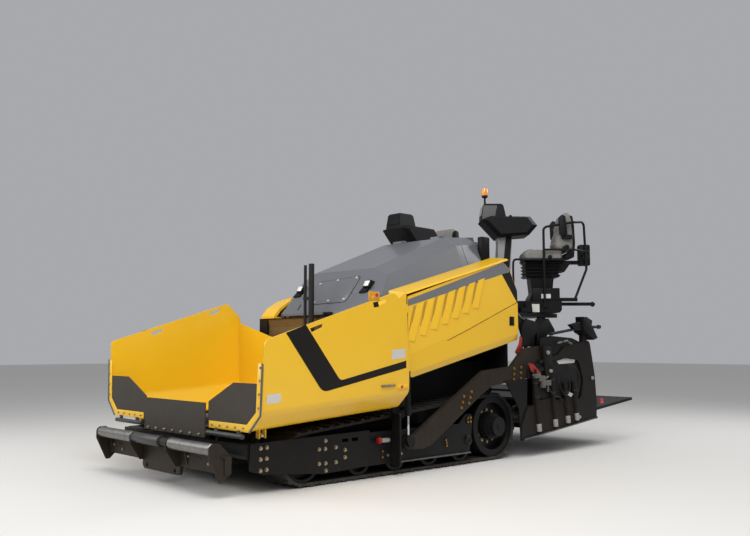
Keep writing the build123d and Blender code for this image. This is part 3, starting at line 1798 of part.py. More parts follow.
def make_gate():
    """End gate of one side: deep rear leg, toe plate, jacks with feet and a control box."""
    y = extension_outer_y + running_gap
    gate = side_plate(
        gate_outline,
        y,
        y + gate_t,
        [(3, 260.0), (4, 70.0), (10, 150.0), (11, 140.0), (12, 90.0), (14, 50.0), (15, 60.0)],
    )
    shoe = block(
        (at(gate_rear_ahead), at(gate_front_ahead)), (y, y + gate_t + 18), (sole_z, sole_z + 26)
    )
    pieces = [gate, shoe]
    jack_y = y + gate_t + 8
    for ahead, top in gate_jacks:
        x = at(ahead)
        pieces.append(rod((x, jack_y, jack_body_z), (x, jack_y, top), jack_r))
        pieces.append(rod((x, jack_y, sole_z + 60), (x, jack_y, jack_body_z + 1), jack_r - 10))
        pieces.append(rod((x, jack_y, sole_z + 40), (x, jack_y, sole_z + 110), jack_r - 2))
        pieces.append(block((x - 42, x + 42), (y + gate_t - 1, jack_y), (top - 90, top - 55)))
        pieces.append(block((x - 42, x + 42), (y + gate_t - 1, jack_y), (300, 335)))
    spine = block(
        (at(gate_jacks[1][0]) - 25, at(gate_jacks[0][0]) + 25),
        (y, y + gate_t),
        (390, 900),
    )
    spine = spine - block(
        (at(gate_jacks[1][0]) + 45, at(gate_jacks[0][0]) - 45), (y - 1, y + gate_t + 1), (470, 850)
    )
    pieces.append(spine)
    arm = side_plate([(-2075, 1090), (-1960, 1090), (-1985, 1290), (-2060, 1290)], y - 40, y + gate_t)
    corners = [(-2090, 1215), (-1930, 1290), (-2040, 1505), (-2200, 1430)]
    case = side_plate(corners, y - 95, y + 65, [(0, 20.0), (1, 20.0), (2, 20.0), (3, 20.0)])
    return joined([*pieces, arm, case])


add_sides("extension", lifted(make_extension()))
add_sides("end_gate", lifted(make_gate()))

# Lift cylinders
eye_rest = lifted(rod((at(lift_ahead), 0, lift_eye_z), (at(lift_ahead), 10, lift_eye_z), 5)).center()
lift_barrel, lift_rod = make_cylinder(
    (eye_rest.X, lift_y, eye_rest.Z),
    (at(lift_ahead), lift_y, lift_top_z),
    lift_barrel_r,
    lift_rod_r,
    0.62,
    190,
    Vector(0, 1, 0),
)
add_both("lift_barrels", lift_barrel)
add_both("lift_rods", lift_rod)


# Augers
def make_auger(side):
    """Shaft with a screw flight made of flat steps."""
    low, high = sorted((side * auger_inner_y, side * auger_outer_y))
    shaft = y_cylinder(auger_ahead, auger_z, low, high, auger_shaft_r)
    span = auger_outer_y - auger_inner_y - 60
    steps = round(span / auger_pitch * flight_steps)
    sections = []
    for i in range(steps + 1):
        turn = side * 2 * pi * i / flight_steps
        y = side * (auger_inner_y + 30 + i * auger_pitch / flight_steps)
        corners = []
        for radius, offset in (
            (auger_shaft_r - 6, -flight_t / 2),
            (auger_r, -flight_t / 2),
            (auger_r, flight_t / 2),
            (auger_shaft_r - 6, flight_t / 2),
        ):
            corners.append(
                (at(auger_ahead) + radius * cos(turn), y + offset, auger_z + radius * sin(turn))
            )
        sections.append(Face(Wire.make_polygon(corners, close=True)))
    return shaft + loft(sections, ruled=True)


add("auger_left", make_auger(1))
add("auger_right", make_auger(-1))
add(
    "auger_case",
    joined(
        [
            block(
                (at(auger_ahead - 70), at(auger_ahead + 90)),
                (-auger_case_half, auger_case_half),
                (300, auger_case_top_z),
            ),
            block(
                (at(auger_ahead), at(chassis_rear_ahead)),
                (-auger_case_half, auger_case_half),
                (660, auger_case_top_z),
            ),
            y_cylinder(
                auger_ahead,
                auger_z,
                -auger_inner_y + running_gap,
                auger_inner_y - running_gap,
                auger_shaft_r + 20,
            ),
        ]
    ),
)

for name, shape in nodes.items():
    export_step(shape, f"parts/{name}.step")
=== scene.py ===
"""Looks of a tracked asphalt paver: finishes, trim, seats, lamps, floor, light and camera."""
import logging
import math
from dataclasses import dataclass
from enum import Enum
from typing import Callable, Iterable, Sequence

import bmesh
import bpy
from mathutils import Matrix, Vector


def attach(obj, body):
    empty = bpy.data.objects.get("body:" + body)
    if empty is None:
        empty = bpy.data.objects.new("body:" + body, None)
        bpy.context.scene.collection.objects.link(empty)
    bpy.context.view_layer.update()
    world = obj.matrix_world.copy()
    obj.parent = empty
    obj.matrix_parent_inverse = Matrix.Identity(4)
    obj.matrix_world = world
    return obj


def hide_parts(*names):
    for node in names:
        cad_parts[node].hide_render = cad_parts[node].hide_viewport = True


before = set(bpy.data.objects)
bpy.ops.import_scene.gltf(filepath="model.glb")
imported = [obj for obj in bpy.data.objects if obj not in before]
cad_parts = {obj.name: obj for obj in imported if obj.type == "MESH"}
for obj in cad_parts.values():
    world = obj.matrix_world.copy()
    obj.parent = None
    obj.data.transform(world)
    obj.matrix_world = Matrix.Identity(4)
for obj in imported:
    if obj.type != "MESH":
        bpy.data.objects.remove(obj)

logging.basicConfig(level=logging.INFO, format="%(message)s")
log = logging.getLogger("paver")

MM = 0.001
AXLE_X = -0.495
SCREED_HINGE = (1.660, 0.360)
SCREED_LIFT = math.radians(6.0)
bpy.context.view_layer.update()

Point = tuple[float, float, float]
Flat = tuple[float, float]


class Side(Enum):
    """Side of the machine, with its sign along Y."""

    LEFT = 1
    RIGHT = -1

    @property
    def word(self) -> str:
        """Return the side's name as node names use it."""
        return self.name.lower()


def at(ahead: float) -> float:
    """Return x of a place given in metres ahead of the drive axle."""
    return AXLE_X + ahead


def to_linear(hex_colour: str) -> tuple[float, float, float, float]:
    """Turn an sRGB hex colour to linear RGBA.

    Args:
        hex_colour: Six hex digits with a leading hash.

    Returns:
        Linear red, green, blue and an alpha of 1.
    """
    parts = [int(hex_colour[i : i + 2], 16) / 255 for i in (1, 3, 5)]
    linear = [c / 12.92 if c <= 0.04045 else ((c + 0.055) / 1.055) ** 2.4 for c in parts]
    return linear[0], linear[1], linear[2], 1.0


def add_node(
    tree: bpy.types.NodeTree,
    kind: str,
    settings: dict[str, object] | None = None,
    values: dict[str | int, object] | None = None,
    links: dict[str | int, bpy.types.NodeSocket] | None = None,
) -> bpy.types.Node:
    """Add one shader node with its settings, socket values and incoming links.

    Args:
        tree: Node tree that gets the node.
        kind: Blender's type name of the node, without its ShaderNode prefix.
        settings: Properties of the node.
        values: Default values by socket name or number.
        links: Sockets of other nodes by this node's socket name or number.

    Returns:
        The new node.
    """
    node = tree.nodes.new("ShaderNode" + kind)
    for key, value in (settings or {}).items():
        setattr(node, key, value)
    for key, value in (values or {}).items():
        node.inputs[key].default_value = value
    for key, socket in (links or {}).items():
        tree.links.new(socket, node.inputs[key])
    return node


@dataclass(frozen=True)
class Finish:
    """A surface finish with a base colour, its spread and a fine bump.

    Attributes:
        name: Plain name of the material and how it was made.
        colour: sRGB colour of the clean surface.
        worn_colour: sRGB colour that it drifts to in broad patches.
        drift: Share of the drift at its strongest.
        patch_mm: Size of those patches.
        roughness: Mean roughness.
        roughness_spread: How far roughness moves across a patch.
        metallic: 1 for bare metal.
        ior: Index of refraction of a dielectric.
        grain_mm: Size of the fine bump.
        grain_height_mm: Depth of the fine bump.
        coat: Weight of a clear coat.
        edge_mm: Radius that rounds edges to the light.
        dust: Share of pale dust at floor level, fading with height.
    """

    name: str
    colour: str
    worn_colour: str
    drift: float = 0.3
    patch_mm: float = 300.0
    roughness: float = 0.4
    roughness_spread: float = 0.1
    metallic: float = 0.0
    ior: float = 1.5
    grain_mm: float = 3.0
    grain_height_mm: float = 0.1
    coat: float = 0.0
    edge_mm: float = 3.0
    dust: float = 0.0

    def build(self) -> bpy.types.Material:
        """Make the material.

        Returns:
            A node-based material that reads Object coordinates.
        """
        material = bpy.data.materials.new(self.name)
        material.use_nodes = True
        tree = material.node_tree
        tree.nodes.clear()
        place = add_node(tree, "TexCoord").outputs["Object"]
        colour = self.tint(tree, place)
        rough = self.rough(tree, place)
        normal = self.bump(tree, place)
        shader = add_node(
            tree,
            "BsdfPrincipled",
            values={"Metallic": self.metallic, "IOR": self.ior, "Coat Weight": self.coat,
                    "Coat Roughness": 0.08},
            links={"Base Color": colour, "Roughness": rough, "Normal": normal},
        )
        add_node(tree, "OutputMaterial", links={"Surface": shader.outputs[0]})
        material.diffuse_color = to_linear(self.colour)
        return material

    def tint(self, tree: bpy.types.NodeTree, place: bpy.types.NodeSocket) -> bpy.types.NodeSocket:
        """Add the colour with its broad drift and its dust.

        Args:
            tree: Node tree of the material.
            place: Object coordinates in metres.

        Returns:
            Colour socket.
        """
        cloud = add_node(
            tree, "TexNoise",
            values={"Scale": 1000 / self.patch_mm, "Detail": 5.0, "Roughness": 0.6},
            links={"Vector": place},
        )
        share = add_node(
            tree, "MapRange",
            values={"From Min": 0.35, "From Max": 0.75, "To Min": 0.0, "To Max": self.drift},
            links={"Value": cloud.outputs["Fac"]},
        )
        mix = add_node(
            tree, "Mix", settings={"data_type": "RGBA"},
            values={6: to_linear(self.colour), 7: to_linear(self.worn_colour)},
            links={0: share.outputs[0]},
        )
        if not self.dust:
            return mix.outputs[2]
        axes = add_node(tree, "SeparateXYZ", links={0: place})
        low = add_node(
            tree, "MapRange",
            values={"From Min": 0.0, "From Max": 0.9, "To Min": self.dust, "To Max": self.dust * 0.12},
            links={"Value": axes.outputs["Z"]},
        )
        speck = add_node(
            tree, "TexNoise", values={"Scale": 18.0, "Detail": 8.0, "Roughness": 0.7},
            links={"Vector": place},
        )
        amount = add_node(
            tree, "Math", settings={"operation": "MULTIPLY"},
            links={0: low.outputs[0], 1: speck.outputs["Fac"]},
        )
        dusty = add_node(
            tree, "Mix", settings={"data_type": "RGBA"},
            values={7: to_linear("#8A8078")},
            links={0: amount.outputs[0], 6: mix.outputs[2]},
        )
        return dusty.outputs[2]

    def rough(self, tree: bpy.types.NodeTree, place: bpy.types.NodeSocket) -> bpy.types.NodeSocket:
        """Add the roughness with its spread.

        Args:
            tree: Node tree of the material.
            place: Object coordinates in metres.

        Returns:
            Roughness socket.
        """
        smear = add_node(
            tree, "TexNoise",
            values={"Scale": 2300 / self.patch_mm, "Detail": 6.0, "Roughness": 0.65},
            links={"Vector": place},
        )
        return add_node(
            tree, "MapRange",
            values={"To Min": self.roughness - self.roughness_spread,
                    "To Max": self.roughness + self.roughness_spread},
            links={"Value": smear.outputs["Fac"]},
        ).outputs[0]

    def bump(self, tree: bpy.types.NodeTree, place: bpy.types.NodeSocket) -> bpy.types.NodeSocket:
        """Add the fine bump over edges that are rounded to the light.

        Args:
            tree: Node tree of the material.
            place: Object coordinates in metres.

        Returns:
            Normal socket.
        """
        grain = add_node(
            tree, "TexNoise",
            values={"Scale": 1000 / self.grain_mm, "Detail": 3.0, "Roughness": 0.5},
            links={"Vector": place},
        )
        edge = add_node(tree, "Bevel", settings={"samples": 4}, values={"Radius": self.edge_mm * MM})
        return add_node(
            tree, "Bump",
            values={"Strength": 0.6, "Distance": self.grain_height_mm * MM},
            links={"Height": grain.outputs["Fac"], "Normal": edge.outputs[0]},
        ).outputs[0]


@dataclass(frozen=True)
class WovenCloth(Finish):
    """Seat cloth with threads crossing over and under.

    Attributes:
        thread_mm: Distance from thread to thread.
    """

    thread_mm: float = 2.4

    def bump(self, tree: bpy.types.NodeTree, place: bpy.types.NodeSocket) -> bpy.types.NodeSocket:
        """Add crossing threads as the bump.

        Args:
            tree: Node tree of the material.
            place: Object coordinates in metres.

        Returns:
            Normal socket.
        """
        waves = [
            add_node(
                tree, "TexWave", settings={"bands_direction": axis},
                values={"Scale": 1000 / self.thread_mm / 20, "Distortion": 0.4},
                links={"Vector": place},
            ).outputs["Fac"]
            for axis in ("X", "Y", "Z")
        ]
        cross = add_node(tree, "Math", settings={"operation": "MULTIPLY"}, links={0: waves[0], 1: waves[1]})
        weave = add_node(
            tree, "Math", settings={"operation": "ADD"}, links={0: cross.outputs[0], 1: waves[2]}
        )
        return add_node(
            tree, "Bump",
            values={"Strength": 0.5, "Distance": self.grain_height_mm * MM},
            links={"Height": weave.outputs[0]},
        ).outputs[0]


@dataclass(frozen=True)
class LampLens(Finish):
    """Clear or tinted polycarbonate lens with fine prisms moulded inside.

    Attributes:
        glow: Strength of its own light; on the reflectors, which are no lamps, the glow is painted light.
        prism_mm: Size of its prisms.
    """

    glow: float = 0.0
    prism_mm: float = 9.0

    def build(self) -> bpy.types.Material:
        """Make the lens material.

        Returns:
            A node-based material that reads Object coordinates.
        """
        material = bpy.data.materials.new(self.name)
        material.use_nodes = True
        tree = material.node_tree
        tree.nodes.clear()
        place = add_node(tree, "TexCoord").outputs["Object"]
        cells = add_node(
            tree, "TexVoronoi", values={"Scale": 1000 / self.prism_mm}, links={"Vector": place}
        )
        bump = add_node(
            tree, "Bump", values={"Strength": 0.7, "Distance": 0.0006},
            links={"Height": cells.outputs["Distance"]},
        )
        shader = add_node(
            tree, "BsdfPrincipled",
            values={"Base Color": to_linear(self.colour), "Roughness": self.roughness,
                    "IOR": 1.58, "Coat Weight": 0.6, "Emission Color": to_linear(self.colour),
                    "Emission Strength": self.glow},
            links={"Normal": bump.outputs[0]},
        )
        add_node(tree, "OutputMaterial", links={"Surface": shader.outputs[0]})
        material.diffuse_color = to_linear(self.colour)
        return material


YELLOW = Finish(
    "yellow enamel sprayed on steel", "#EDBB1C", "#E6B015", drift=0.35, patch_mm=700, roughness=0.3,
    roughness_spread=0.06, grain_mm=6.0, grain_height_mm=0.05, coat=0.35, edge_mm=5.0,
)
BLACK = Finish(
    "black satin enamel on steel", "#0F0F10", "#181817", drift=0.5, patch_mm=260, roughness=0.5, ior=1.24,
    roughness_spread=0.09, grain_mm=5.0, grain_height_mm=0.08, coat=0.05, edge_mm=3.0, dust=0.05,
)
GREY = Finish(
    "grey enamel on glass fibre", "#626469", "#585A5E", drift=0.4, patch_mm=600, roughness=0.36,
    roughness_spread=0.06, grain_mm=6.0, grain_height_mm=0.05, coat=0.25, edge_mm=6.0,
)
BROWN = Finish(
    "dark brown enamel on flame-cut plate", "#27211A", "#332C24", drift=0.5, patch_mm=220, ior=1.22,
    roughness=0.48, roughness_spread=0.1, grain_mm=4.0, grain_height_mm=0.15, edge_mm=4.0, dust=0.12,
)
TRACK_RUBBER = Finish(
    "vulcanised track rubber", "#121213", "#1F1E1C", drift=0.6, patch_mm=90, roughness=0.8, ior=1.25,
    roughness_spread=0.1, grain_mm=2.5, grain_height_mm=0.3, edge_mm=5.0, dust=0.35,
)
FLAP_RUBBER = Finish(
    "sheet rubber with cloth inlay", "#423D37", "#3A3530", drift=0.6, patch_mm=160, roughness=0.66, ior=1.3,
    roughness_spread=0.08, grain_mm=3.0, grain_height_mm=0.2, edge_mm=2.5,
)
WORN_STEEL = Finish(
    "bare rolled steel worn by use", "#8B8A88", "#5F5A55", drift=0.7, patch_mm=70, roughness=0.4,
    roughness_spread=0.12, metallic=1.0, grain_mm=1.8, grain_height_mm=0.12, edge_mm=2.0,
)
CHROME = Finish(
    "hard chrome ground smooth", "#C9CACC", "#BDBEC0", drift=0.2, patch_mm=60, roughness=0.12,
    roughness_spread=0.03, metallic=1.0, grain_mm=0.8, grain_height_mm=0.01, edge_mm=1.0,
)
ZINC = Finish(
    "zinc-plated bolt with a yellow tint", "#B9A98A", "#8E8676", drift=0.6, patch_mm=12, roughness=0.34,
    roughness_spread=0.1, metallic=1.0, grain_mm=1.0, grain_height_mm=0.03, edge_mm=1.0,
)
PLASTIC = Finish(
    "black moulded plastic, grained", "#111113", "#191919", drift=0.4, patch_mm=150, roughness=0.55, ior=1.26,
    roughness_spread=0.06, grain_mm=1.6, grain_height_mm=0.12, edge_mm=4.0,
)
CAST_IRON = Finish(
    "painted cast iron", "#1E1E1F", "#2A2928", drift=0.6, patch_mm=80, roughness=0.58, ior=1.3,
    roughness_spread=0.1, grain_mm=4.0, grain_height_mm=0.5, edge_mm=4.0, dust=0.1,
)
PALE_PLASTIC = Finish(
    "light grey moulded plastic", "#8E8E8E", "#848484", drift=0.4, patch_mm=150, roughness=0.5,
    roughness_spread=0.06, grain_mm=1.6, grain_height_mm=0.1, edge_mm=4.0,
)
UMBER = Finish(
    "brown enamel with dried binder", "#6B4F24", "#54401F", drift=0.7, patch_mm=120, roughness=0.5,
    roughness_spread=0.1, grain_mm=4.0, grain_height_mm=0.2, edge_mm=3.0,
)
# Black paint lightened to grey: a painted highlight on the rail flanges' top faces and along the flap strips'
# edges.
BLACK_WITH_PAINTED_HIGHLIGHT = Finish(
    "black enamel rubbed bright on its edge", "#4A4A4B", "#6A6967", drift=0.7, patch_mm=90, roughness=0.42,
    roughness_spread=0.1, grain_mm=3.0, grain_height_mm=0.1, edge_mm=2.0,
)
BAND_GREY = Finish(
    "grey film", "#6A6C6F", "#606265", drift=0.3, patch_mm=300, roughness=0.38,
    roughness_spread=0.04, grain_mm=5.0, grain_height_mm=0.03, edge_mm=0.5,
)
BRASS = Finish(
    "yellow-chromated steel fitting", "#B08A3E", "#8C6C30", drift=0.6, patch_mm=14, roughness=0.36,
    roughness_spread=0.1, metallic=1.0, grain_mm=1.0, grain_height_mm=0.03, edge_mm=1.0,
)
SEAT_CLOTH = WovenCloth(
    "woven seat cloth", "#7E7B77", "#6E6B67", drift=0.4, patch_mm=60, roughness=0.86,
    roughness_spread=0.05, grain_height_mm=0.5, thread_mm=3.0,
)
# Matt black for real stripes, seams and marks, and for films of painted shade: the slots, the port and the
# rim round the hood's cover.
BLACK_STRIPE_AND_PAINTED_SHADE = Finish(
    "matt black film", "#14120F", "#1C1917", drift=0.3, patch_mm=200, roughness=0.42, ior=1.3,
    roughness_spread=0.04, grain_mm=5.0, grain_height_mm=0.03, edge_mm=0.5,
)
PALE_PLATE = Finish(
    "blank aluminium plate", "#C9C6C0", "#BDB9B2", drift=0.3, patch_mm=60, roughness=0.4,
    roughness_spread=0.05, grain_mm=2.0, grain_height_mm=0.02, edge_mm=0.5,
)
RED = Finish(
    "red webbing and caps", "#96160E", "#82120C", drift=0.5, patch_mm=50, roughness=0.5,
    grain_mm=2.0, grain_height_mm=0.1, edge_mm=1.5,
)
SCREEN = Finish(
    "dark display glass", "#10161C", "#0C1116", drift=0.2, patch_mm=80, roughness=0.12,
    roughness_spread=0.03, grain_mm=2.0, grain_height_mm=0.01, coat=0.5, edge_mm=1.0,
)
DARK_STEEL = Finish(
    "dark phosphated steel tube", "#4A4A4B", "#3A3938", drift=0.6, patch_mm=80, roughness=0.42,
    roughness_spread=0.1, metallic=0.6, grain_mm=2.0, grain_height_mm=0.08, edge_mm=2.0,
)
# Darker yellow laid in the louvre throats: painted shade beside each blade.
SHADED_YELLOW = Finish(
    "yellow enamel in the louvre throats, dulled by dust", "#B98E1C", "#A67C14", drift=0.5, patch_mm=120,
    roughness=0.5, roughness_spread=0.08, grain_mm=5.0, grain_height_mm=0.05, edge_mm=1.0,
)
MID_PLASTIC = Finish(
    "mid-grey moulded plastic", "#4C4B4A", "#444342", drift=0.4, patch_mm=120, roughness=0.55,
    roughness_spread=0.06, grain_mm=1.6, grain_height_mm=0.1, edge_mm=3.0,
)
RUBBED_AMBER = Finish(
    "moulded amber housing", "#C98F12", "#A8740E", drift=0.5, patch_mm=40, roughness=0.4,
    roughness_spread=0.08, grain_mm=2.0, grain_height_mm=0.05, edge_mm=2.0,
)
PALE_METAL = Finish(
    "silver-painted cast fitting", "#A9A69F", "#86827A", drift=0.7, patch_mm=30, roughness=0.45,
    roughness_spread=0.1, metallic=0.4, grain_mm=2.0, grain_height_mm=0.1, edge_mm=1.5,
)
CLOUDED_METAL = Finish(
    "dull cast aluminium with oil film", "#6F6A62", "#4A463F", drift=0.8, patch_mm=40, roughness=0.5,
    roughness_spread=0.1, metallic=0.3, grain_mm=2.0, grain_height_mm=0.1, edge_mm=1.5,
)
GATE_BROWN = Finish(
    "dark brown enamel on the end gates", "#1C1815", "#24201C", drift=0.5, patch_mm=220, ior=1.22,
    roughness=0.5, roughness_spread=0.1, grain_mm=4.0, grain_height_mm=0.15, edge_mm=4.0, dust=0.06,
)
# The lens glow is painted light where these lenses sit on reflectors: the wing's tab and marker.
AMBER_LENS = LampLens("amber polycarbonate lens", "#D98A12", "#D98A12", roughness=0.16, glow=0.16)
RED_LENS = LampLens("red polycarbonate lens", "#B3130C", "#B3130C", roughness=0.2, glow=0.12)
CLEAR_LENS = LampLens("clear lamp lens", "#D8D6D4", "#D8D6D4", roughness=0.1, glow=0.2)


class Paintbox:
    """Keeps one material for each finish and lays it on objects."""

    def __init__(self) -> None:
        """Start with no materials."""
        self.made: dict[str, bpy.types.Material] = {}

    def material(self, finish: Finish) -> bpy.types.Material:
        """Return the finish's material, made at its first use."""
        if finish.name not in self.made:
            self.made[finish.name] = finish.build()
        return self.made[finish.name]

    def lay(self, obj: bpy.types.Object, finish: Finish) -> None:
        """Give an object one finish all over.

        Args:
            obj: Object to dress.
            finish: Its finish.
        """
        if not obj.material_slots:
            obj.data.materials.append(None)
        for slot in obj.material_slots:
            slot.material = self.material(finish)


PAINT = Paintbox()


def clear_selection() -> None:
    """Go to object mode with nothing selected."""
    if bpy.context.object and bpy.context.object.mode != "OBJECT":
        bpy.ops.object.mode_set(mode="OBJECT")
    bpy.ops.object.select_all(action="DESELECT")


def pick(obj: bpy.types.Object) -> None:
    """Select one object alone and make it active."""
    clear_selection()
    obj.select_set(True)
    bpy.context.view_layer.objects.active = obj


def settle(obj: bpy.types.Object, name: str) -> bpy.types.Object:
    """Name a piece and move its place into its mesh.

    Args:
        obj: Piece as modelled.
        name: Its final name.

    Returns:
        The same piece at the origin, unturned and unscaled.
    """
    pick(obj)
    bpy.ops.object.transform_apply(location=True, rotation=True, scale=True)
    obj.name = name
    obj.data.name = name
    return obj


def select_faces(obj: bpy.types.Object, wanted: Callable[[bmesh.types.BMFace], bool]) -> None:
    """Select faces in edit mode by a rule on place or normal.

    Args:
        obj: Object in edit mode.
        wanted: Says whether a face is selected.
    """
    mesh = bmesh.from_edit_mesh(obj.data)
    bpy.ops.mesh.select_mode(type="FACE")
    for face in mesh.faces:
        face.select_set(wanted(face))
    mesh.select_flush_mode()
    bmesh.update_edit_mesh(obj.data)


def apply_bevel(obj: bpy.types.Object, width: float, segments: int = 2, angle: float = 35.0) -> None:
    """Round a piece's sharp edges with an applied Bevel modifier.

    Args:
        obj: Piece.
        width: Width of the rounding in metres.
        segments: Number of steps across it.
        angle: Edges that turn less than this many degrees stay.
    """
    pick(obj)
    bevel = obj.modifiers.new("rounding", "BEVEL")
    bevel.width = width
    bevel.segments = segments
    bevel.limit_method = "ANGLE"
    bevel.angle_limit = math.radians(angle)
    bevel.harden_normals = False
    bpy.ops.object.modifier_apply(modifier=bevel.name)
    bpy.ops.object.shade_smooth_by_angle(angle=math.radians(angle))


def fix_normals(obj: bpy.types.Object) -> None:
    """Merge doubled points and turn all faces outwards."""
    pick(obj)
    bpy.ops.object.mode_set(mode="EDIT")
    bpy.ops.mesh.select_all(action="SELECT")
    bpy.ops.mesh.remove_doubles(threshold=1e-5)
    bpy.ops.mesh.normals_make_consistent(inside=False)
    bpy.ops.object.mode_set(mode="OBJECT")


def block(name: str, low: Point, high: Point, rounding: float = 0.004) -> bpy.types.Object:
    """Model a rounded block between two corners.

    Args:
        name: Name of the piece.
        low: Lowest corner.
        high: Highest corner.
        rounding: Width of its rounded edges.

    Returns:
        The piece.
    """
    clear_selection()
    middle = [(a + b) / 2 for a, b in zip(low, high)]
    bpy.ops.mesh.primitive_cube_add(size=1, location=middle)
    obj = bpy.context.object
    obj.scale = [abs(b - a) for a, b in zip(low, high)]
    settle(obj, name)
    apply_bevel(obj, rounding)
    return obj


def tube(name: str, start: Point, end: Point, radius: float, sides: int = 24,
         rounding: float = 0.002) -> bpy.types.Object:
    """Model a round bar with softened ends between two points.

    Args:
        name: Name of the piece.
        start: Centre of one end.
        end: Centre of the other end.
        radius: Its radius.
        sides: Number of flats round it.
        rounding: Width of the rounding at its ends.

    Returns:
        The piece.
    """
    clear_selection()
    a, b = Vector(start), Vector(end)
    bpy.ops.mesh.primitive_cylinder_add(vertices=sides, radius=radius, depth=(b - a).length)
    obj = bpy.context.object
    obj.rotation_mode = "QUATERNION"
    obj.rotation_quaternion = (b - a).to_track_quat("Z", "Y")
    obj.location = (a + b) / 2
    settle(obj, name)
    apply_bevel(obj, rounding, angle=50)
    return obj


def plate(name: str, outline: Sequence[Point], push: Point, rounding: float = 0.0015) -> bpy.types.Object:
    """Model a plate from a flat outline: a filled circle shaped to it, then extruded.

    Args:
        name: Name of the piece.
        outline: Corners in order.
        push: Way and length of the extrusion.
        rounding: Width of its rounded edges.

    Returns:
        The piece.
    """
    clear_selection()
    bpy.ops.mesh.primitive_circle_add(vertices=len(outline), radius=1, fill_type="NGON")
    obj = bpy.context.object
    for vertex, corner in zip(obj.data.vertices, outline):
        vertex.co = corner
    bpy.ops.object.mode_set(mode="EDIT")
    bpy.ops.mesh.select_all(action="SELECT")
    bpy.ops.mesh.extrude_region_move(TRANSFORM_OT_translate={"value": push})
    bpy.ops.mesh.select_all(action="SELECT")
    bpy.ops.mesh.normals_make_consistent(inside=False)
    bpy.ops.object.mode_set(mode="OBJECT")
    settle(obj, name)
    if rounding:
        apply_bevel(obj, rounding, segments=2)
    return obj


def bent_tube(name: str, points: Sequence[Point], radius: float) -> bpy.types.Object:
    """Model a bent tube along a smooth path.

    Args:
        name: Name of the piece.
        points: Control points of its centre line.
        radius: Its radius.

    Returns:
        The piece as a mesh.
    """
    clear_selection()
    bpy.ops.curve.primitive_nurbs_path_add()
    obj = bpy.context.object
    spline = obj.data.splines[0]
    spline.points.add(len(points) - len(spline.points))
    for control, place in zip(spline.points, points):
        control.co = (*place, 1.0)
    if len(spline.points) > len(points):
        raise ValueError(f"{name} needs at least {len(spline.points)} points")
    spline.order_u = 3
    spline.use_endpoint_u = True
    obj.data.bevel_depth = radius
    obj.data.bevel_resolution = 4
    obj.data.resolution_u = 8
    obj.data.use_fill_caps = True
    pick(obj)
    bpy.ops.object.convert(target="MESH")
    obj = bpy.context.object
    settle(obj, name)
    fix_normals(obj)
    pick(obj)
    bpy.ops.object.shade_smooth_by_angle(angle=math.radians(40))
    return obj


def join(name: str, objs: Sequence[bpy.types.Object]) -> bpy.types.Object:
    """Join several pieces of one finish and body to one object.

    Args:
        name: Name of the result.
        objs: Pieces, the first of which keeps its place in the list.

    Returns:
        The joined piece.
    """
    clear_selection()
    for obj in objs:
        obj.select_set(True)
    bpy.context.view_layer.objects.active = objs[0]
    if len(objs) > 1:
        bpy.ops.object.join()
    objs[0].name = name
    return objs[0]


def place(obj: bpy.types.Object, finish: Finish, body: str) -> bpy.types.Object:
    """Dress a finished piece and let it ride on a body.

    Args:
        obj: Finished piece.
        finish: Its finish.
        body: Body that carries it.

    Returns:
        The same piece.
    """
    PAINT.lay(obj, finish)
    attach(obj, body)
    log.info("piece %s rides on %s", obj.name, body)
    return obj


Spot = Callable[[float, float, float], Point]


def beside(side: Side) -> Spot:
    """Return the rule that sets a place given as (ahead, across, z) on one side of the machine."""
    return lambda ahead, across, z: (at(ahead), side.value * across, z)


def raised(ahead: float, across: float, z: float) -> Point:
    """Turn a place on the lowered screed to its place while the machine is parked with the screed up.

    Args:
        ahead: Metres ahead of the drive axle.
        across: Distance from the middle plane.
        z: Height.

    Returns:
        Its ahead, across and z at rest.
    """
    dx, dz = ahead - SCREED_HINGE[0], z - SCREED_HINGE[1]
    c, s = math.cos(SCREED_LIFT), math.sin(SCREED_LIFT)
    return SCREED_HINGE[0] + dx * c + dz * s, across, SCREED_HINGE[1] - dx * s + dz * c


def raised_outline(outline: Iterable[Flat]) -> tuple[Flat, ...]:
    """Turn an outline of (ahead, z) on the lowered screed to its place at rest."""
    return tuple(raised(ahead, 0.0, z)[::2] for ahead, z in outline)


@dataclass(frozen=True)
class Slab:
    """Upright plate drawn as (ahead, z) between two distances across.

    Attributes:
        low: Where it starts across.
        high: Where it ends across.
        outline: Corners as (ahead, z).
        rounding: Width of its rounded edges.
    """

    low: float
    high: float
    outline: tuple[Flat, ...]
    rounding: float = 0.004

    def build(self, name: str, spot: Spot) -> bpy.types.Object:
        """Model the plate where the rule sets it."""
        corners = [spot(ahead, self.low, z) for ahead, z in self.outline]
        push = (0, spot(0, self.high, 0)[1] - spot(0, self.low, 0)[1], 0)
        return plate(name, corners, push, self.rounding)


@dataclass(frozen=True)
class Sheet:
    """Plate with free corners, such as a face that leans two ways.

    Attributes:
        corners: Corners as (ahead, across, z).
        push: Way and length of its thickness.
        rounding: Width of its rounded edges.
    """

    corners: tuple[Point, ...]
    push: Point
    rounding: float = 0.0

    def build(self, name: str, spot: Spot) -> bpy.types.Object:
        """Model the plate where the rule sets it."""
        return plate(name, [spot(*corner) for corner in self.corners], self.push, self.rounding)


@dataclass(frozen=True)
class Box:
    """Rounded block.

    Attributes:
        ahead: Its two ends ahead.
        across: Its two ends across.
        height: Its two ends in height.
        rounding: Width of its rounded edges.
    """

    ahead: Flat
    across: Flat
    height: Flat
    rounding: float = 0.004

    def build(self, name: str, spot: Spot) -> bpy.types.Object:
        """Model the block where the rule sets it."""
        low, high = (spot(*corner) for corner in zip(self.ahead, self.across, self.height))
        return block(name, low, high, self.rounding)


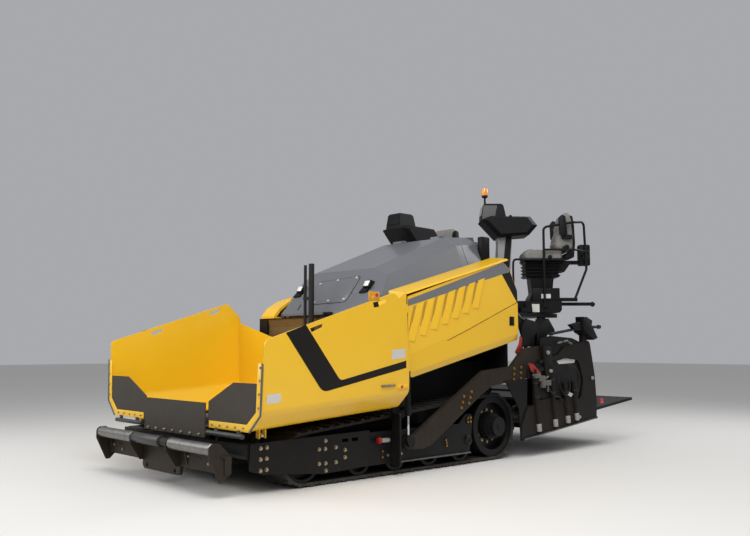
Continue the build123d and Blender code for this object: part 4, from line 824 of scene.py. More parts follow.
@dataclass(frozen=True)
class Bar:
    """Round bar between two places given as (ahead, across, z).

    Attributes:
        start: Centre of one end.
        end: Centre of the other end.
        radius: Its radius.
        rounding: Width of the rounding at its ends.
        sides: Number of flats round it.
    """

    start: Point
    end: Point
    radius: float
    rounding: float = 0.002
    sides: int = 24

    def build(self, name: str, spot: Spot) -> bpy.types.Object:
        """Model the bar where the rule sets it."""
        return tube(name, spot(*self.start), spot(*self.end), self.radius, self.sides, self.rounding)


@dataclass(frozen=True)
class Pipe:
    """Bent pipe along places given as (ahead, across, z)."""

    radius: float
    points: tuple[Point, ...]

    def build(self, name: str, spot: Spot) -> bpy.types.Object:
        """Model the pipe where the rule sets it."""
        return bent_tube(name, [spot(*point) for point in self.points], self.radius)


@dataclass(frozen=True)
class Hoop:
    """Upright ring of round bar that faces across."""

    centre: Point
    ring_radius: float
    bar_radius: float

    def build(self, name: str, spot: Spot) -> bpy.types.Object:
        """Model the ring where the rule sets it."""
        clear_selection()
        bpy.ops.mesh.primitive_torus_add(
            major_radius=self.ring_radius, minor_radius=self.bar_radius, major_segments=28,
            minor_segments=12, location=spot(*self.centre), rotation=(math.pi / 2, 0, 0),
        )
        obj = settle(bpy.context.object, name)
        pick(obj)
        bpy.ops.object.shade_smooth_by_angle(angle=math.radians(50))
        return obj


@dataclass
class Bolts:
    """Hexagon-headed bolts with washers, modelled once and copied to each place.

    Attributes:
        name: Name of the joined piece.
        places: Centre of each washer's seat.
        out: Way that the heads face.
        across: Width of a head across its corners.
    """

    name: str
    places: Sequence[Point]
    out: Point
    across: float = 0.032

    def build(self) -> bpy.types.Object:
        """Model the bolts.

        Returns:
            All bolts as one piece.
        """
        radius = self.across / 2
        turn = Vector(self.out).to_track_quat("Z", "Y").to_matrix().to_4x4()
        clear_selection()
        bpy.ops.mesh.primitive_cylinder_add(vertices=20, radius=radius * 1.25, depth=radius * 0.3)
        washer = bpy.context.object
        washer.location = (0, 0, radius * 0.15)
        settle(washer, self.name + "_washer")
        clear_selection()
        bpy.ops.mesh.primitive_cylinder_add(vertices=6, radius=radius, depth=radius * 0.8)
        head = bpy.context.object
        head.location = (0, 0, radius * 0.7)
        settle(head, self.name + "_head")
        apply_bevel(head, radius * 0.12, segments=2)
        model = join(self.name, [washer, head])
        heads = []
        for i, spot in enumerate(self.places):
            copy = model.copy()
            copy.data = model.data.copy()
            bpy.context.collection.objects.link(copy)
            spin = Matrix.Rotation(0.7 * i, 4, "Z")
            copy.data.transform(Matrix.Translation(spot) @ turn @ spin)
            heads.append(copy)
        bpy.data.objects.remove(model)
        return join(self.name, heads)


@dataclass(frozen=True)
class SideBolts:
    """Bolts whose heads face outwards, at places given as (ahead, across, z)."""

    across: float
    places: tuple[Point, ...]

    def build(self, name: str, spot: Spot) -> bpy.types.Object:
        """Model the bolts where the rule sets them."""
        out = (0, math.copysign(1, spot(0, 1, 0)[1]), 0)
        return Bolts(name, [spot(*point) for point in self.places], out, self.across).build()


Part = Slab | Sheet | Box | Bar | Pipe | Hoop | SideBolts


@dataclass(frozen=True)
class Fitting:
    """A piece made of parts of one finish.

    Attributes:
        name: Name of the piece, without its side.
        finish: Its finish.
        parts: What it is joined from.
        body: Body that carries it; braces take the side's word.
    """

    name: str
    finish: Finish
    parts: tuple[Part, ...]
    body: str = "machine"

    def model(self, name: str, spot: Spot) -> bpy.types.Object:
        """Model all parts where the rule sets them and join them."""
        return join(name, [part.build(f"{name}_{i}", spot) for i, part in enumerate(self.parts)])

    def build(self, side: Side) -> None:
        """Model the piece on one side of the machine and let it ride on its body."""
        word = side.word
        place(self.model(f"{self.name}_{word}", beside(side)), self.finish, self.body.format(word))


def build_on_both_sides(fittings: Iterable[Fitting]) -> None:
    """Model all fittings of a table on the left, then on the right."""
    for side in Side:
        for fitting in fittings:
            fitting.build(side)


@dataclass
class HopperTrim:
    """Strips, stripes, marks and bolts of the hopper.

    Attributes:
        slope: Rise of the wing's bend for each metre to the rear.
        bend: Place (y, z) of the wing's bend at its front edge.
        lean: How far the wing's wall leans out for each metre of height.
        half_skin: Half of the wall's thickness.
        flap_front: Front face of the rubber flaps.
        strip_outer: Outer line of the clamping strip as (y, z).
        strip_inner: Inner line of the clamping strip as (y, z).
        low_bolts: y of the bolts in the strip's level run.
        rise_bolts: z of the bolts in its upright run.
        stripe: Outline of the black stripe as (ahead, z).
        plates: Name, upper front corner and lower rear corner of the blank plates.
        port: Outline of the black film near the top edge, painted shade in the port, as (ahead, z).
        bar: Front, rear and height of the small round bar.
        tab: Middle ahead and height of the rear tab's reflector.
        marker_y: Middle of the marker on the left wing's top edge.
    """

    slope: float = 0.07
    bend: Flat = (1.580, 0.812)
    lean: float = 0.066
    half_skin: float = 0.008
    flap_front: float = at(3.892)
    strip_thickness: float = 0.010
    strip_outer: tuple[Flat, ...] = ((1.604, 1.291), (1.584, 0.800), (1.406, 0.630), (0.700, 0.630))
    strip_inner: tuple[Flat, ...] = ((1.546, 1.291), (1.524, 0.826), (1.374, 0.702), (0.700, 0.702))
    low_bolts: tuple[float, ...] = (0.76, 0.90, 1.04, 1.18, 1.32)
    rise_bolts: tuple[float, ...] = (0.87, 1.0, 1.13, 1.25)
    film: float = 0.0012
    film_gap: float = 0.0002
    stripe: tuple[Flat, ...] = (
        (3.641, 1.583), (3.400, 1.667), (2.935, 1.128), (2.905, 1.112), (2.875, 1.112),
        (1.964, 1.297), (1.959, 1.217), (3.077, 1.004), (3.115, 1.003), (3.150, 1.015), (3.181, 1.037),
    )
    plates: tuple[tuple[str, Flat, Flat], ...] = (
        ("wing_plate_front", (3.825, 0.995), (3.665, 0.905)),
        ("wing_plate_rear", (2.190, 1.415), (1.985, 1.310)),
    )
    plate_slope: float = 0.06
    port: tuple[Flat, ...] = ((2.507, 1.918), (2.434, 1.931), (2.416, 1.878), (2.489, 1.865))
    bar: Point = (2.333, 2.132, 1.027)
    tab: Flat = (2.030, 1.012)
    marker_y: float = 1.655
    apron_bolts: int = 7

    def outer_y(self, ahead: float, z: float) -> float:
        """Return y of the wing's outer face at a place.

        Args:
            ahead: Metres ahead of the drive axle.
            z: Height.

        Returns:
            Distance from the middle plane.
        """
        rise = self.slope * (3.880 - ahead)
        return self.bend[0] + self.lean * (z - self.bend[1] - rise) + self.half_skin

    def on_wing(self, points: Iterable[Flat], side: Side) -> list[Point]:
        """Lay (ahead, z) points just outside the wing's outer face.

        Args:
            points: Places ahead of the axle and heights.
            side: Wing that gets them.

        Returns:
            Points in the part's frame.
        """
        return [(at(x), side.value * (self.outer_y(x, z) + self.film_gap), z) for x, z in points]

    def strips(self, side: Side) -> None:
        """Model the yellow clamping strip of one flap, the grey bar outside it as a painted highlight, and
        the bolts.
        """
        s, word = side.value, side.word
        x = self.flap_front
        outline = [(x, s * y, z) for y, z in self.strip_outer + self.strip_inner[::-1]]
        strip = plate(f"flap_strip_{word}", outline, (self.strip_thickness, 0, 0), 0.002)
        place(strip, YELLOW, f"wing_{word}")
        run = self.strip_outer[:3]
        edge = [(y + 0.008, z + 0.004) for y, z in run] + [(y + 0.024, z - 0.004) for y, z in run[::-1]]
        # The grey bar along the strip's outer edge is a painted highlight.
        bar = plate(f"flap_edge_{word}", [(x + 0.002, s * y, z) for y, z in edge], (0.014, 0, 0), 0.002)
        place(bar, BLACK_WITH_PAINTED_HIGHLIGHT, f"wing_{word}")
        x += self.strip_thickness
        spots = [(x, s * y, 0.666) for y in self.low_bolts]
        spots += [(x, s * (1.562 + self.lean * (z - self.bend[1])), z) for z in self.rise_bolts]
        place(Bolts(f"flap_bolts_{word}", spots, (1, 0, 0), 0.020).build(), ZINC, f"wing_{word}")

    def marks(self) -> None:
        """Lay the stripes, the blank plates and the port's painted shade, and model the small bars."""
        for side in Side:
            outline = self.on_wing(self.stripe, side)
            film = plate(f"wing_stripe_{side.word}", outline, (0, side.value * self.film, 0), 0)
            place(film, BLACK_STRIPE_AND_PAINTED_SHADE, f"wing_{side.word}")
        for name, (x0, z0), (x1, z1) in self.plates:
            drop = (x0 - x1) * self.plate_slope
            corners = [(x0, z0), (x1, z0 + drop), (x1, z1 + drop), (x0, z1)]
            piece = plate(name, self.on_wing(corners, Side.LEFT), (0, 0.001, 0), 0)
            place(piece, PALE_PLATE, "wing_left")
        # A black film at the port: painted shade where it opens into the dark.
        port = plate("wing_port", self.on_wing(self.port, Side.LEFT), (0, self.film, 0), 0)
        place(port, BLACK_STRIPE_AND_PAINTED_SHADE, "wing_left")
        front, rear, z = self.bar
        ends = [(x, self.outer_y(x, z) + 0.012, z + rise) for x, rise in ((front, 0), (rear, 0.006))]
        for side in Side:
            Fitting("wing_bars", WORN_STEEL, (Bar(*ends, 0.011),), "wing_{}").build(side)

    def rear_tab(self) -> None:
        """Model the small tab with a red reflector at the left wing's rear edge."""
        y = self.outer_y(1.990, 1.010)
        tab = block("wing_tab", (at(1.925), y - 0.002, 0.990), (at(2.085), y + 0.016, 1.034), 0.006)
        place(tab, YELLOW, "wing_left")
        x, z = self.tab
        eye = tube("wing_tab_eye", (at(x), y + 0.015, z), (at(x), y + 0.021, z), 0.018)
        # Its red lens glows: painted light on a reflector.
        place(eye, RED_LENS, "wing_left")

    def marker(self) -> None:
        """Model the marker on the left wing's top edge: housing, red eye and amber eye."""
        y = self.marker_y
        low, high = (at(2.410), y - 0.016, 1.935), (at(2.565), y + 0.004, 2.035)
        place(block("marker_housing", low, high, 0.008), RUBBED_AMBER, "wing_left")
        # Both eyes are reflectors; their lens glow is painted light.
        for name, x, z, finish in (
            ("marker_red", 2.455, 2.000, RED_LENS), ("marker_amber", 2.510, 1.970, AMBER_LENS),
        ):
            eye = tube(name, (at(x), y + 0.001, z), (at(x), y + 0.0055, z), 0.022)
            place(eye, finish, "wing_left")

    def build(self) -> None:
        """Model all trim of the hopper."""
        for side in Side:
            self.strips(side)
        self.marks()
        self.marker()
        self.rear_tab()
        spots = [(at(3.9165), -0.54 + i * 0.18, 0.550) for i in range(self.apron_bolts)]
        place(Bolts("apron_bolts", spots, (1, 0, 0), 0.030).build(), ZINC, "machine")


@dataclass
class HoodTrim:
    """Work lamps, cover panel with a dark rim that is partly painted shadow, the slot's painted shade and
    stop block on the front slope of the hood.

    Attributes:
        foot: Lower end (ahead, z) of the slope.
        crest: Upper end (ahead, z) of the slope.
        lamp_outline: Left lamp's housing as (across, up the slope).
        lamp_depth: How far the lamp stands out.
        lens: Lower and upper corner of the left lamp's lens.
        right_shift: How far the right lamp lies across from the left one.
        cover: Outline of the cover panel.
        cover_bolts: Places of its bolts.
        slot: Upper and lower end of the slot's black film, painted shade.
    """

    foot: Flat = (1.790, 1.890)
    crest: Flat = (1.500, 2.430)
    lamp_outline: tuple[Flat, ...] = (
        (0.509, 0.245), (0.640, 0.250), (0.705, 0.355), (0.718, 0.402), (0.574, 0.405), (0.561, 0.325),
    )
    lamp_depth: float = 0.050
    lens: tuple[Flat, Flat] = ((0.600, 0.312), (0.680, 0.386))
    lens_depth: float = 0.012
    right_shift: float = -1.330
    cover: tuple[Flat, ...] = (
        (-0.400, 0.445), (-0.385, 0.462), (0.365, 0.500), (0.392, 0.488), (0.398, 0.452), (0.322, 0.185),
        (0.296, 0.148), (0.250, 0.132), (-0.330, 0.118), (-0.368, 0.140),
    )
    cover_thickness: float = 0.006
    cover_bolts: tuple[Flat, ...] = (
        (-0.345, 0.428), (-0.010, 0.462), (0.345, 0.478), (-0.310, 0.150), (-0.035, 0.158), (0.262, 0.170),
    )
    slot: tuple[Flat, Flat] = ((-0.592, 0.130), (-0.606, 0.045))
    slot_half: float = 0.009

    def spot(self, across: float, up: float, off: float) -> Point:
        """Return a place on the slope.

        Args:
            across: Its y.
            up: Distance up the slope from its foot.
            off: Distance out of the surface.

        Returns:
            A point in the part's frame.
        """
        run = (self.crest[0] - self.foot[0], self.crest[1] - self.foot[1])
        size = math.hypot(*run)
        ahead, rise = run[0] / size, run[1] / size
        return (at(self.foot[0] + ahead * up + rise * off), across, self.foot[1] + rise * up - ahead * off)

    def slab(self, name: str, outline: Iterable[Flat], low: float, high: float,
             rounding: float = 0.002) -> bpy.types.Object:
        """Model a slab on the slope from an outline of (across, up) points."""
        start = self.spot(0, 0, low)
        end = self.spot(0, 0, high)
        push = tuple(b - a for a, b in zip(start, end))
        return plate(name, [self.spot(y, up, low) for y, up in outline], push, rounding)

    def lamp(self, side: Side) -> None:
        """Model one lamp: slanted housing, collar round the lens, and the lens."""
        shift = 0.0 if side is Side.LEFT else self.right_shift
        outline = [(y + shift, up) for y, up in self.lamp_outline]
        housing = self.slab(f"lamp_housing_{side.word}", outline, 0.001, self.lamp_depth * 0.45, 0.004)
        (y0, low), (y1, high) = self.lens
        y0, y1 = y0 + shift, y1 + shift
        rim = 0.014
        frame_outline = [
            (y0 - rim, low - 0.012), (y1 + rim, low - 0.012), (y1 + 0.020, high + rim),
            (y0 - rim, high + rim),
        ]
        collar = self.slab(f"lamp_collar_{side.word}", frame_outline, 0.005, self.lamp_depth, 0.004)
        place(join(f"lamp_{side.word}", [housing, collar]), PLASTIC, "engine_hood")
        pane = [(y0, low), (y1, low), (y1 + 0.004, high), (y0, high)]
        front = self.lamp_depth + self.lens_depth
        lens = self.slab(f"lamp_lens_{side.word}", pane, self.lamp_depth - 0.001, front, 0.006)
        place(lens, CLEAR_LENS, "engine_hood")

    def build(self) -> None:
        """Model all trim of the slope."""
        for side in Side:
            self.lamp(side)
        # A dark film a little larger than the cover shows as a rim round it: painted shadow under its lower
        # edge, a dark joint round the rest.
        gap = [(y * 1.018 + 0.001, (up - 0.3) * 1.035 + 0.3) for y, up in self.cover]
        place(self.slab("cover_gap", gap, 0.0004, 0.0014, 0), BLACK_STRIPE_AND_PAINTED_SHADE, "engine_hood")
        cover = self.slab("cover_panel", self.cover, 0.0006, self.cover_thickness, 0.002)
        place(cover, GREY, "engine_hood")
        spots = [self.spot(y, up, self.cover_thickness) for y, up in self.cover_bolts]
        facing = tuple(b - a for a, b in zip(self.spot(0, 0, 0), self.spot(0, 0, 1)))
        place(Bolts("cover_bolts", spots, facing, 0.026).build(), PALE_PLATE, "engine_hood")
        # The slot is a black film on the slope: painted shade where the slot opens.
        (y0, high), (y1, low) = self.slot
        half = self.slot_half
        outline = [(y0 - half, high), (y0 + half, high), (y1 + half, low), (y1 - half, low)]
        place(self.slab("nose_slot", outline, 0.0005, 0.003, 0), BLACK_STRIPE_AND_PAINTED_SHADE, "machine")
        stop = block("nose_stop", (at(1.792), -0.03, 1.848), (at(1.812), 0.13, 1.886), 0.004)
        place(stop, PLASTIC, "machine")


@dataclass
class DoorTrim:
    """Grey band, dark corner and latch of the side doors.

    Attributes:
        bends: Bends of the skin, each with its z at the front, its rise to the rear end and its y.
        front: Front end of the skin ahead of the axle.
        length: Length of the skin.
        film: Thickness of the films.
        film_gap: Distance of the films from the skin.
        first_cut: Line ahead of the axle from which the cuts across a film are counted.
        cut_pitch: Distance from cut to cut.
        cuts: Number of cuts that let a film follow the skin.
        band: Outline of the grey band as (ahead, z).
        corner: Outline of the dark corner as (ahead, z).
        latch: Middle of the latch as (ahead, z).
    """

    bends: tuple[Point, ...] = (
        (1.040, 0.470, 1.218), (1.135, 0.500, 1.254), (1.345, 0.676, 1.263), (2.080, 0.640, 1.242),
    )
    front: float = 1.590
    length: float = 2.150
    film: float = 0.0012
    film_gap: float = 0.0008
    first_cut: float = 1.600
    cut_pitch: float = 0.092
    cuts: int = 23
    band: tuple[Flat, ...] = (
        (1.568, 1.925), (1.568, 2.002), (-0.250, 2.566), (-0.366, 2.488), (-0.332, 2.440),
    )
    corner: tuple[Flat, ...] = (
        (-0.205, 2.408), (-0.345, 2.440), (-0.365, 2.480), (-0.516, 2.200), (-0.516, 2.030),
    )
    latch: Flat = (-0.385, 1.790)

    def skin_y(self, ahead: float, z: float) -> float:
        """Return y of the left door's outer face at a place ahead of the axle and a height."""
        share = (self.front - ahead) / self.length
        line = [(low + gain * share, y) for low, gain, y in self.bends]
        for (z0, y0), (z1, y1) in zip(line, line[1:]):
            if z <= z1:
                break
        return y0 + (y1 - y0) * (z - z0) / (z1 - z0)

    def film_piece(self, name: str, outline: Sequence[Flat], side: Side) -> bpy.types.Object:
        """Lay a thin film on the door that follows its bent skin.

        Args:
            name: Name of the piece.
            outline: Corners as (ahead, z).
            side: Door that gets it.

        Returns:
            The film.
        """
        clear_selection()
        bpy.ops.mesh.primitive_circle_add(vertices=len(outline), radius=1, fill_type="NGON")
        obj = bpy.context.object
        for vertex, (ahead, z) in zip(obj.data.vertices, outline):
            vertex.co = (at(ahead), 0, z)
        bpy.ops.object.mode_set(mode="EDIT")
        for step in range(1, self.cuts + 1):
            cut = (at(self.first_cut - step * self.cut_pitch), 0, 0)
            bpy.ops.mesh.select_all(action="SELECT")
            bpy.ops.mesh.bisect(plane_co=cut, plane_no=(1, 0, 0))
        bpy.ops.mesh.select_all(action="SELECT")
        bpy.ops.mesh.extrude_region_move(TRANSFORM_OT_translate={"value": (0, self.film, 0)})
        bpy.ops.object.mode_set(mode="OBJECT")
        for vertex in obj.data.vertices:
            x, y, z = vertex.co
            vertex.co = (x, side.value * (self.skin_y(x - AXLE_X, z) + self.film_gap + y), z)
        settle(obj, name)
        fix_normals(obj)
        return obj

    def build(self) -> None:
        """Model the trim of both doors."""
        x, z = self.latch
        y = self.skin_y(x, z)
        latch = Fitting("door_latch", PLASTIC, (
            Box((x - 0.055, x + 0.045), (y - 0.004, y + 0.005), (z - 0.060, z + 0.060), 0.002),
            Box((x - 0.030, x + 0.022), (y + 0.004, y + 0.017), (z - 0.042, z + 0.034), 0.005),
            Bar((x - 0.004, y + 0.015, z + 0.046), (x - 0.004, y + 0.004, z + 0.046), 0.010),
        ), "side_door_{}")
        for side in Side:
            body = f"side_door_{side.word}"
            place(self.film_piece(f"door_band_{side.word}", self.band, side), BAND_GREY, body)
            place(self.film_piece(f"door_corner_{side.word}", self.corner, side), BLACK_STRIPE_AND_PAINTED_SHADE, body)
            latch.build(side)


def circle(
    centre: Flat, across: float, radius: float, count: int, start: float = 0.0
) -> tuple[Point, ...]:
    """Return places round an upright circle.

    Args:
        centre: Its centre as (ahead, z).
        across: Its distance across.
        radius: Its radius.
        count: Number of places.
        start: Angle of the first place.

    Returns:
        Places as (ahead, across, z).
    """
    turns = [start + math.tau * i / count for i in range(count)]
    ahead, z = centre
    return tuple((ahead + radius * math.cos(t), across, z + radius * math.sin(t)) for t in turns)


def spread_out(across: float, places: Iterable[Flat]) -> tuple[Point, ...]:
    """Set places given as (ahead, z) at one distance across."""
    return tuple((ahead, across, z) for ahead, z in places)


RAIL_Y = 1.275
POST_Y = 1.302
TOW_ROD = (1.705, 1.378)
UNDERCARRIAGE = (
    Fitting("cap_bolts", BRASS, (SideBolts(0.024, circle((0.530, 0.545), 1.283, 0.036, 4, math.pi / 4)),)),
    Fitting("post_bolts", ZINC, (SideBolts(0.030, (
        *spread_out(POST_Y, ((1.815, 0.64), (1.815, 0.86))),
        *spread_out(RAIL_Y, ((1.72, 0.235), (1.925, 0.232))),
    )),)),
    Fitting("grease", BRASS, tuple(
        Bar((ahead, RAIL_Y, z), (ahead, RAIL_Y + 0.022, z), 0.012)
        for ahead, z in ((0.968, 0.330), (0.955, 0.262), (0.960, 0.296), (2.02, 0.285), (2.02, 0.220))
    )),
    Fitting("shackle", CAST_IRON, (
        Box((0.522, 0.582), (1.273, 1.293), (0.300, 0.362)),
        Hoop((0.552, 1.299, 0.292), 0.042, 0.0085),
        Bar((0.518, 1.299, 0.332), (0.586, 1.299, 0.332), 0.009),
    )),
    Fitting("tow_sleeve", CHROME, (
        Bar((*TOW_ROD, 0.450), (*TOW_ROD, 0.665), 0.0161, sides=64),
    ), "tow_slides"),
    Fitting("rail_fitting", PALE_METAL, (Bar((1.960, 1.325, 0.408), (2.090, 1.325, 0.414), 0.026),)),
    Fitting("rail_cap", RED, (Bar((2.086, 1.325, 0.413), (2.130, 1.325, 0.415), 0.036, 0.008),)),
)
TRACK_BOLTS = (
    Fitting("frame_bolts", ZINC, (SideBolts(0.034, spread_out(1.280, (
        (3.669, 0.453), (3.596, 0.456), (3.669, 0.345), (3.596, 0.348), (3.669, 0.236), (3.596, 0.240),
        (2.844, 0.465), (2.929, 0.382), (2.847, 0.381), (2.700, 0.385), (2.572, 0.348), (2.571, 0.269),
        (2.928, 0.234), (2.842, 0.231), (2.699, 0.230), (2.838, 0.155),
    ))),)),
    Fitting("wheel_bolts", ZINC, (SideBolts(0.034, circle((0.0, 0.430), 1.120, 0.205, 12)),)),
)


class StationCopy:
    """Moves pieces drawn for a stowed left station, with its pivot at the origin, to their station."""

    PIVOT: Point = (at(-0.800), 1.200, 0.0)
    SWING: float = math.radians(43.0)

    @classmethod
    def put(cls, model: bpy.types.Object, name: str, side: Side) -> bpy.types.Object:
        """Copy a piece to one station.

        Args:
            model: Piece in the station's own frame, outboard along +Y.
            name: Name of the copy.
            side: Station that gets it.

        Returns:
            The copy, with its own mesh in the part's frame.
        """
        copy = model.copy()
        copy.data = model.data.copy()
        bpy.context.collection.objects.link(copy)
        copy.name = copy.data.name = name
        if side is Side.LEFT:
            copy.data.transform(Matrix.Translation(cls.PIVOT) @ Matrix.Rotation(-cls.SWING, 4, "Z"))
            return copy
        copy.data.transform(Matrix.Scale(-1, 4, (0, 1, 0)) @ Matrix.Translation(cls.PIVOT))
        copy.data.flip_normals()
        return copy


@dataclass
class SeatPad:
    """One upholstered pad: a tapered block that is remeshed, blown up as cloth and given its seams.

    Attributes:
        name: Name of the pad.
        outline: Side outline as (x, z) in the station's frame.
        middle: Its middle across.
        half: Half of its width.
        shrink: Share by which both side faces are smaller than the middle.
        channels: Lines across the pad as (x, z) where it is sewn down.
        swell: Farthest that a point may move.
        pressure: Pressure inside while it is blown up.
        voxel: Size of its even mesh.
        channel: Depth and half width of a sewn channel.
        seam: Depth and half width of a lengthwise seam.
        seam_place: Distance of those seams from the middle, as a share of the half width.
    """

    name: str
    outline: Sequence[Flat]
    middle: float
    half: float
    shrink: float
    channels: Sequence[Flat] = ()
    swell: float = 0.012
    pressure: float = 4.0
    voxel: float = 0.010
    channel: Flat = (0.013, 0.018)
    seam: Flat = (0.009, 0.011)
    seam_place: float = 0.62

    def blank(self) -> bpy.types.Object:
        """Model the pad's closed block with drawn-in sides."""
        clear_selection()
        bpy.ops.mesh.primitive_circle_add(vertices=len(self.outline), radius=1, fill_type="NGON")
        obj = bpy.context.object
        for vertex, (x, z) in zip(obj.data.vertices, self.outline):
            vertex.co = (x, self.middle, z)
        count = len(self.outline)
        centre = (
            sum(x for x, _ in self.outline) / count, self.middle, sum(z for _, z in self.outline) / count
        )
        bpy.ops.object.mode_set(mode="EDIT")
        for sign in (-1, 1):
            bpy.ops.mesh.select_all(action="SELECT")
            if sign > 0:
                select_faces(obj, lambda face: all(abs(v.co.y - self.middle) < 1e-6 for v in face.verts))
            for share in (0.8, 0.2):
                step = (0, sign * self.half * share, 0)
                bpy.ops.mesh.extrude_region_move(TRANSFORM_OT_translate={"value": step})
            bpy.ops.transform.resize(value=(self.shrink, 1, self.shrink), center_override=centre)
        bpy.ops.mesh.select_all(action="SELECT")
        bpy.ops.mesh.remove_doubles(threshold=1e-5)
        bpy.ops.mesh.normals_make_consistent(inside=False)
        bpy.ops.object.mode_set(mode="OBJECT")
        return settle(obj, self.name)

    def build(self) -> bpy.types.Object:
        """Model the pad and blow it up as cloth.

        Returns:
            The finished pad in the station's frame.
        """
        obj = self.blank()
        apply_bevel(obj, 0.022, segments=3, angle=30)
        pick(obj)
        remesh = obj.modifiers.new("even", "REMESH")
        remesh.mode = "VOXEL"
        remesh.voxel_size = self.voxel
        bpy.ops.object.modifier_apply(modifier=remesh.name)
        self.inflate(obj)
        self.sew(obj)
        pick(obj)
        smooth = obj.modifiers.new("even out", "SMOOTH")
        smooth.iterations = 3
        bpy.ops.object.modifier_apply(modifier=smooth.name)
        finer = obj.modifiers.new("finer", "SUBSURF")
        finer.levels = finer.render_levels = 1
        bpy.ops.object.modifier_apply(modifier=finer.name)
        bpy.ops.object.shade_smooth()
        return obj

    def inflate(self, obj: bpy.types.Object) -> None:
        """Swell the pad with Blender's cloth and keep each point within its cap."""
        start = [vertex.co.copy() for vertex in obj.data.vertices]
        pick(obj)
        cloth = obj.modifiers.new("cloth", "CLOTH")
        cloth.settings.use_pressure = True
        cloth.settings.uniform_pressure_force = self.pressure
        cloth.settings.effector_weights.gravity = 0
        cloth.settings.quality = 4
        cloth.settings.tension_stiffness = 20
        scene = bpy.context.scene
        cloth.point_cache.frame_start = 1
        cloth.point_cache.frame_end = 20
        for number in range(1, 21):
            scene.frame_set(number)
        bpy.ops.object.modifier_apply(modifier=cloth.name)
        scene.frame_set(1)
        for vertex, old in zip(obj.data.vertices, start):
            move = vertex.co - old
            if move.length > self.swell:
                vertex.co = old + move * (self.swell / move.length)
        log.info("pad %s blown up", obj.name)

    def sew(self, obj: bpy.types.Object) -> None:
        """Pull the pad in along its sewn channels and its two lengthwise seams."""
        (deep, wide), (seam_deep, seam_wide) = self.channel, self.seam
        for vertex in obj.data.vertices:
            pull = 0.0
            for x, z in self.channels:
                gap = math.hypot(vertex.co.x - x, vertex.co.z - z)
                pull = max(pull, deep * math.exp(-((gap / wide) ** 2)))
            across = abs(abs(vertex.co.y - self.middle) - self.half * self.seam_place)
            pull = max(pull, seam_deep * math.exp(-((across / seam_wide) ** 2)))
            vertex.co -= vertex.normal * pull


STATION_MIDDLE = -0.357
STATION_FORWARD = 0.200


def on_station(ahead: float, across: float, z: float) -> Point:
    """Set a place given from the console's line and the seat's middle in the station's frame."""
    return ahead + STATION_FORWARD, across + STATION_MIDDLE, z


def label(across: float, ahead: Flat, height: Flat) -> Slab:
    """Return a thin blank label that faces outboard."""
    (x0, x1), (z0, z1) = ahead, height
    return Slab(across, across + 0.001, ((x0, z0), (x1, z0), (x1, z1), (x0, z1)), 0)


def display_sides() -> tuple[Sheet, ...]:
    """Return the two leaning faces on the outboard side of the display's hood."""
    rows = ((3.240, 0.1504, 0.368, 0.200), (3.300, 0.1466, 0.364, 0.182), (3.449, 0.1306, 0.345, 0.150))
    return tuple(
        Sheet(((front, y, z), (rear, y, z), (top_rear, top_y, top), (top_front, top_y, top)), (0, 0.0015, 0))
        for (z, y, front, rear), (top, top_y, top_front, top_rear) in zip(rows, rows[1:])
    )


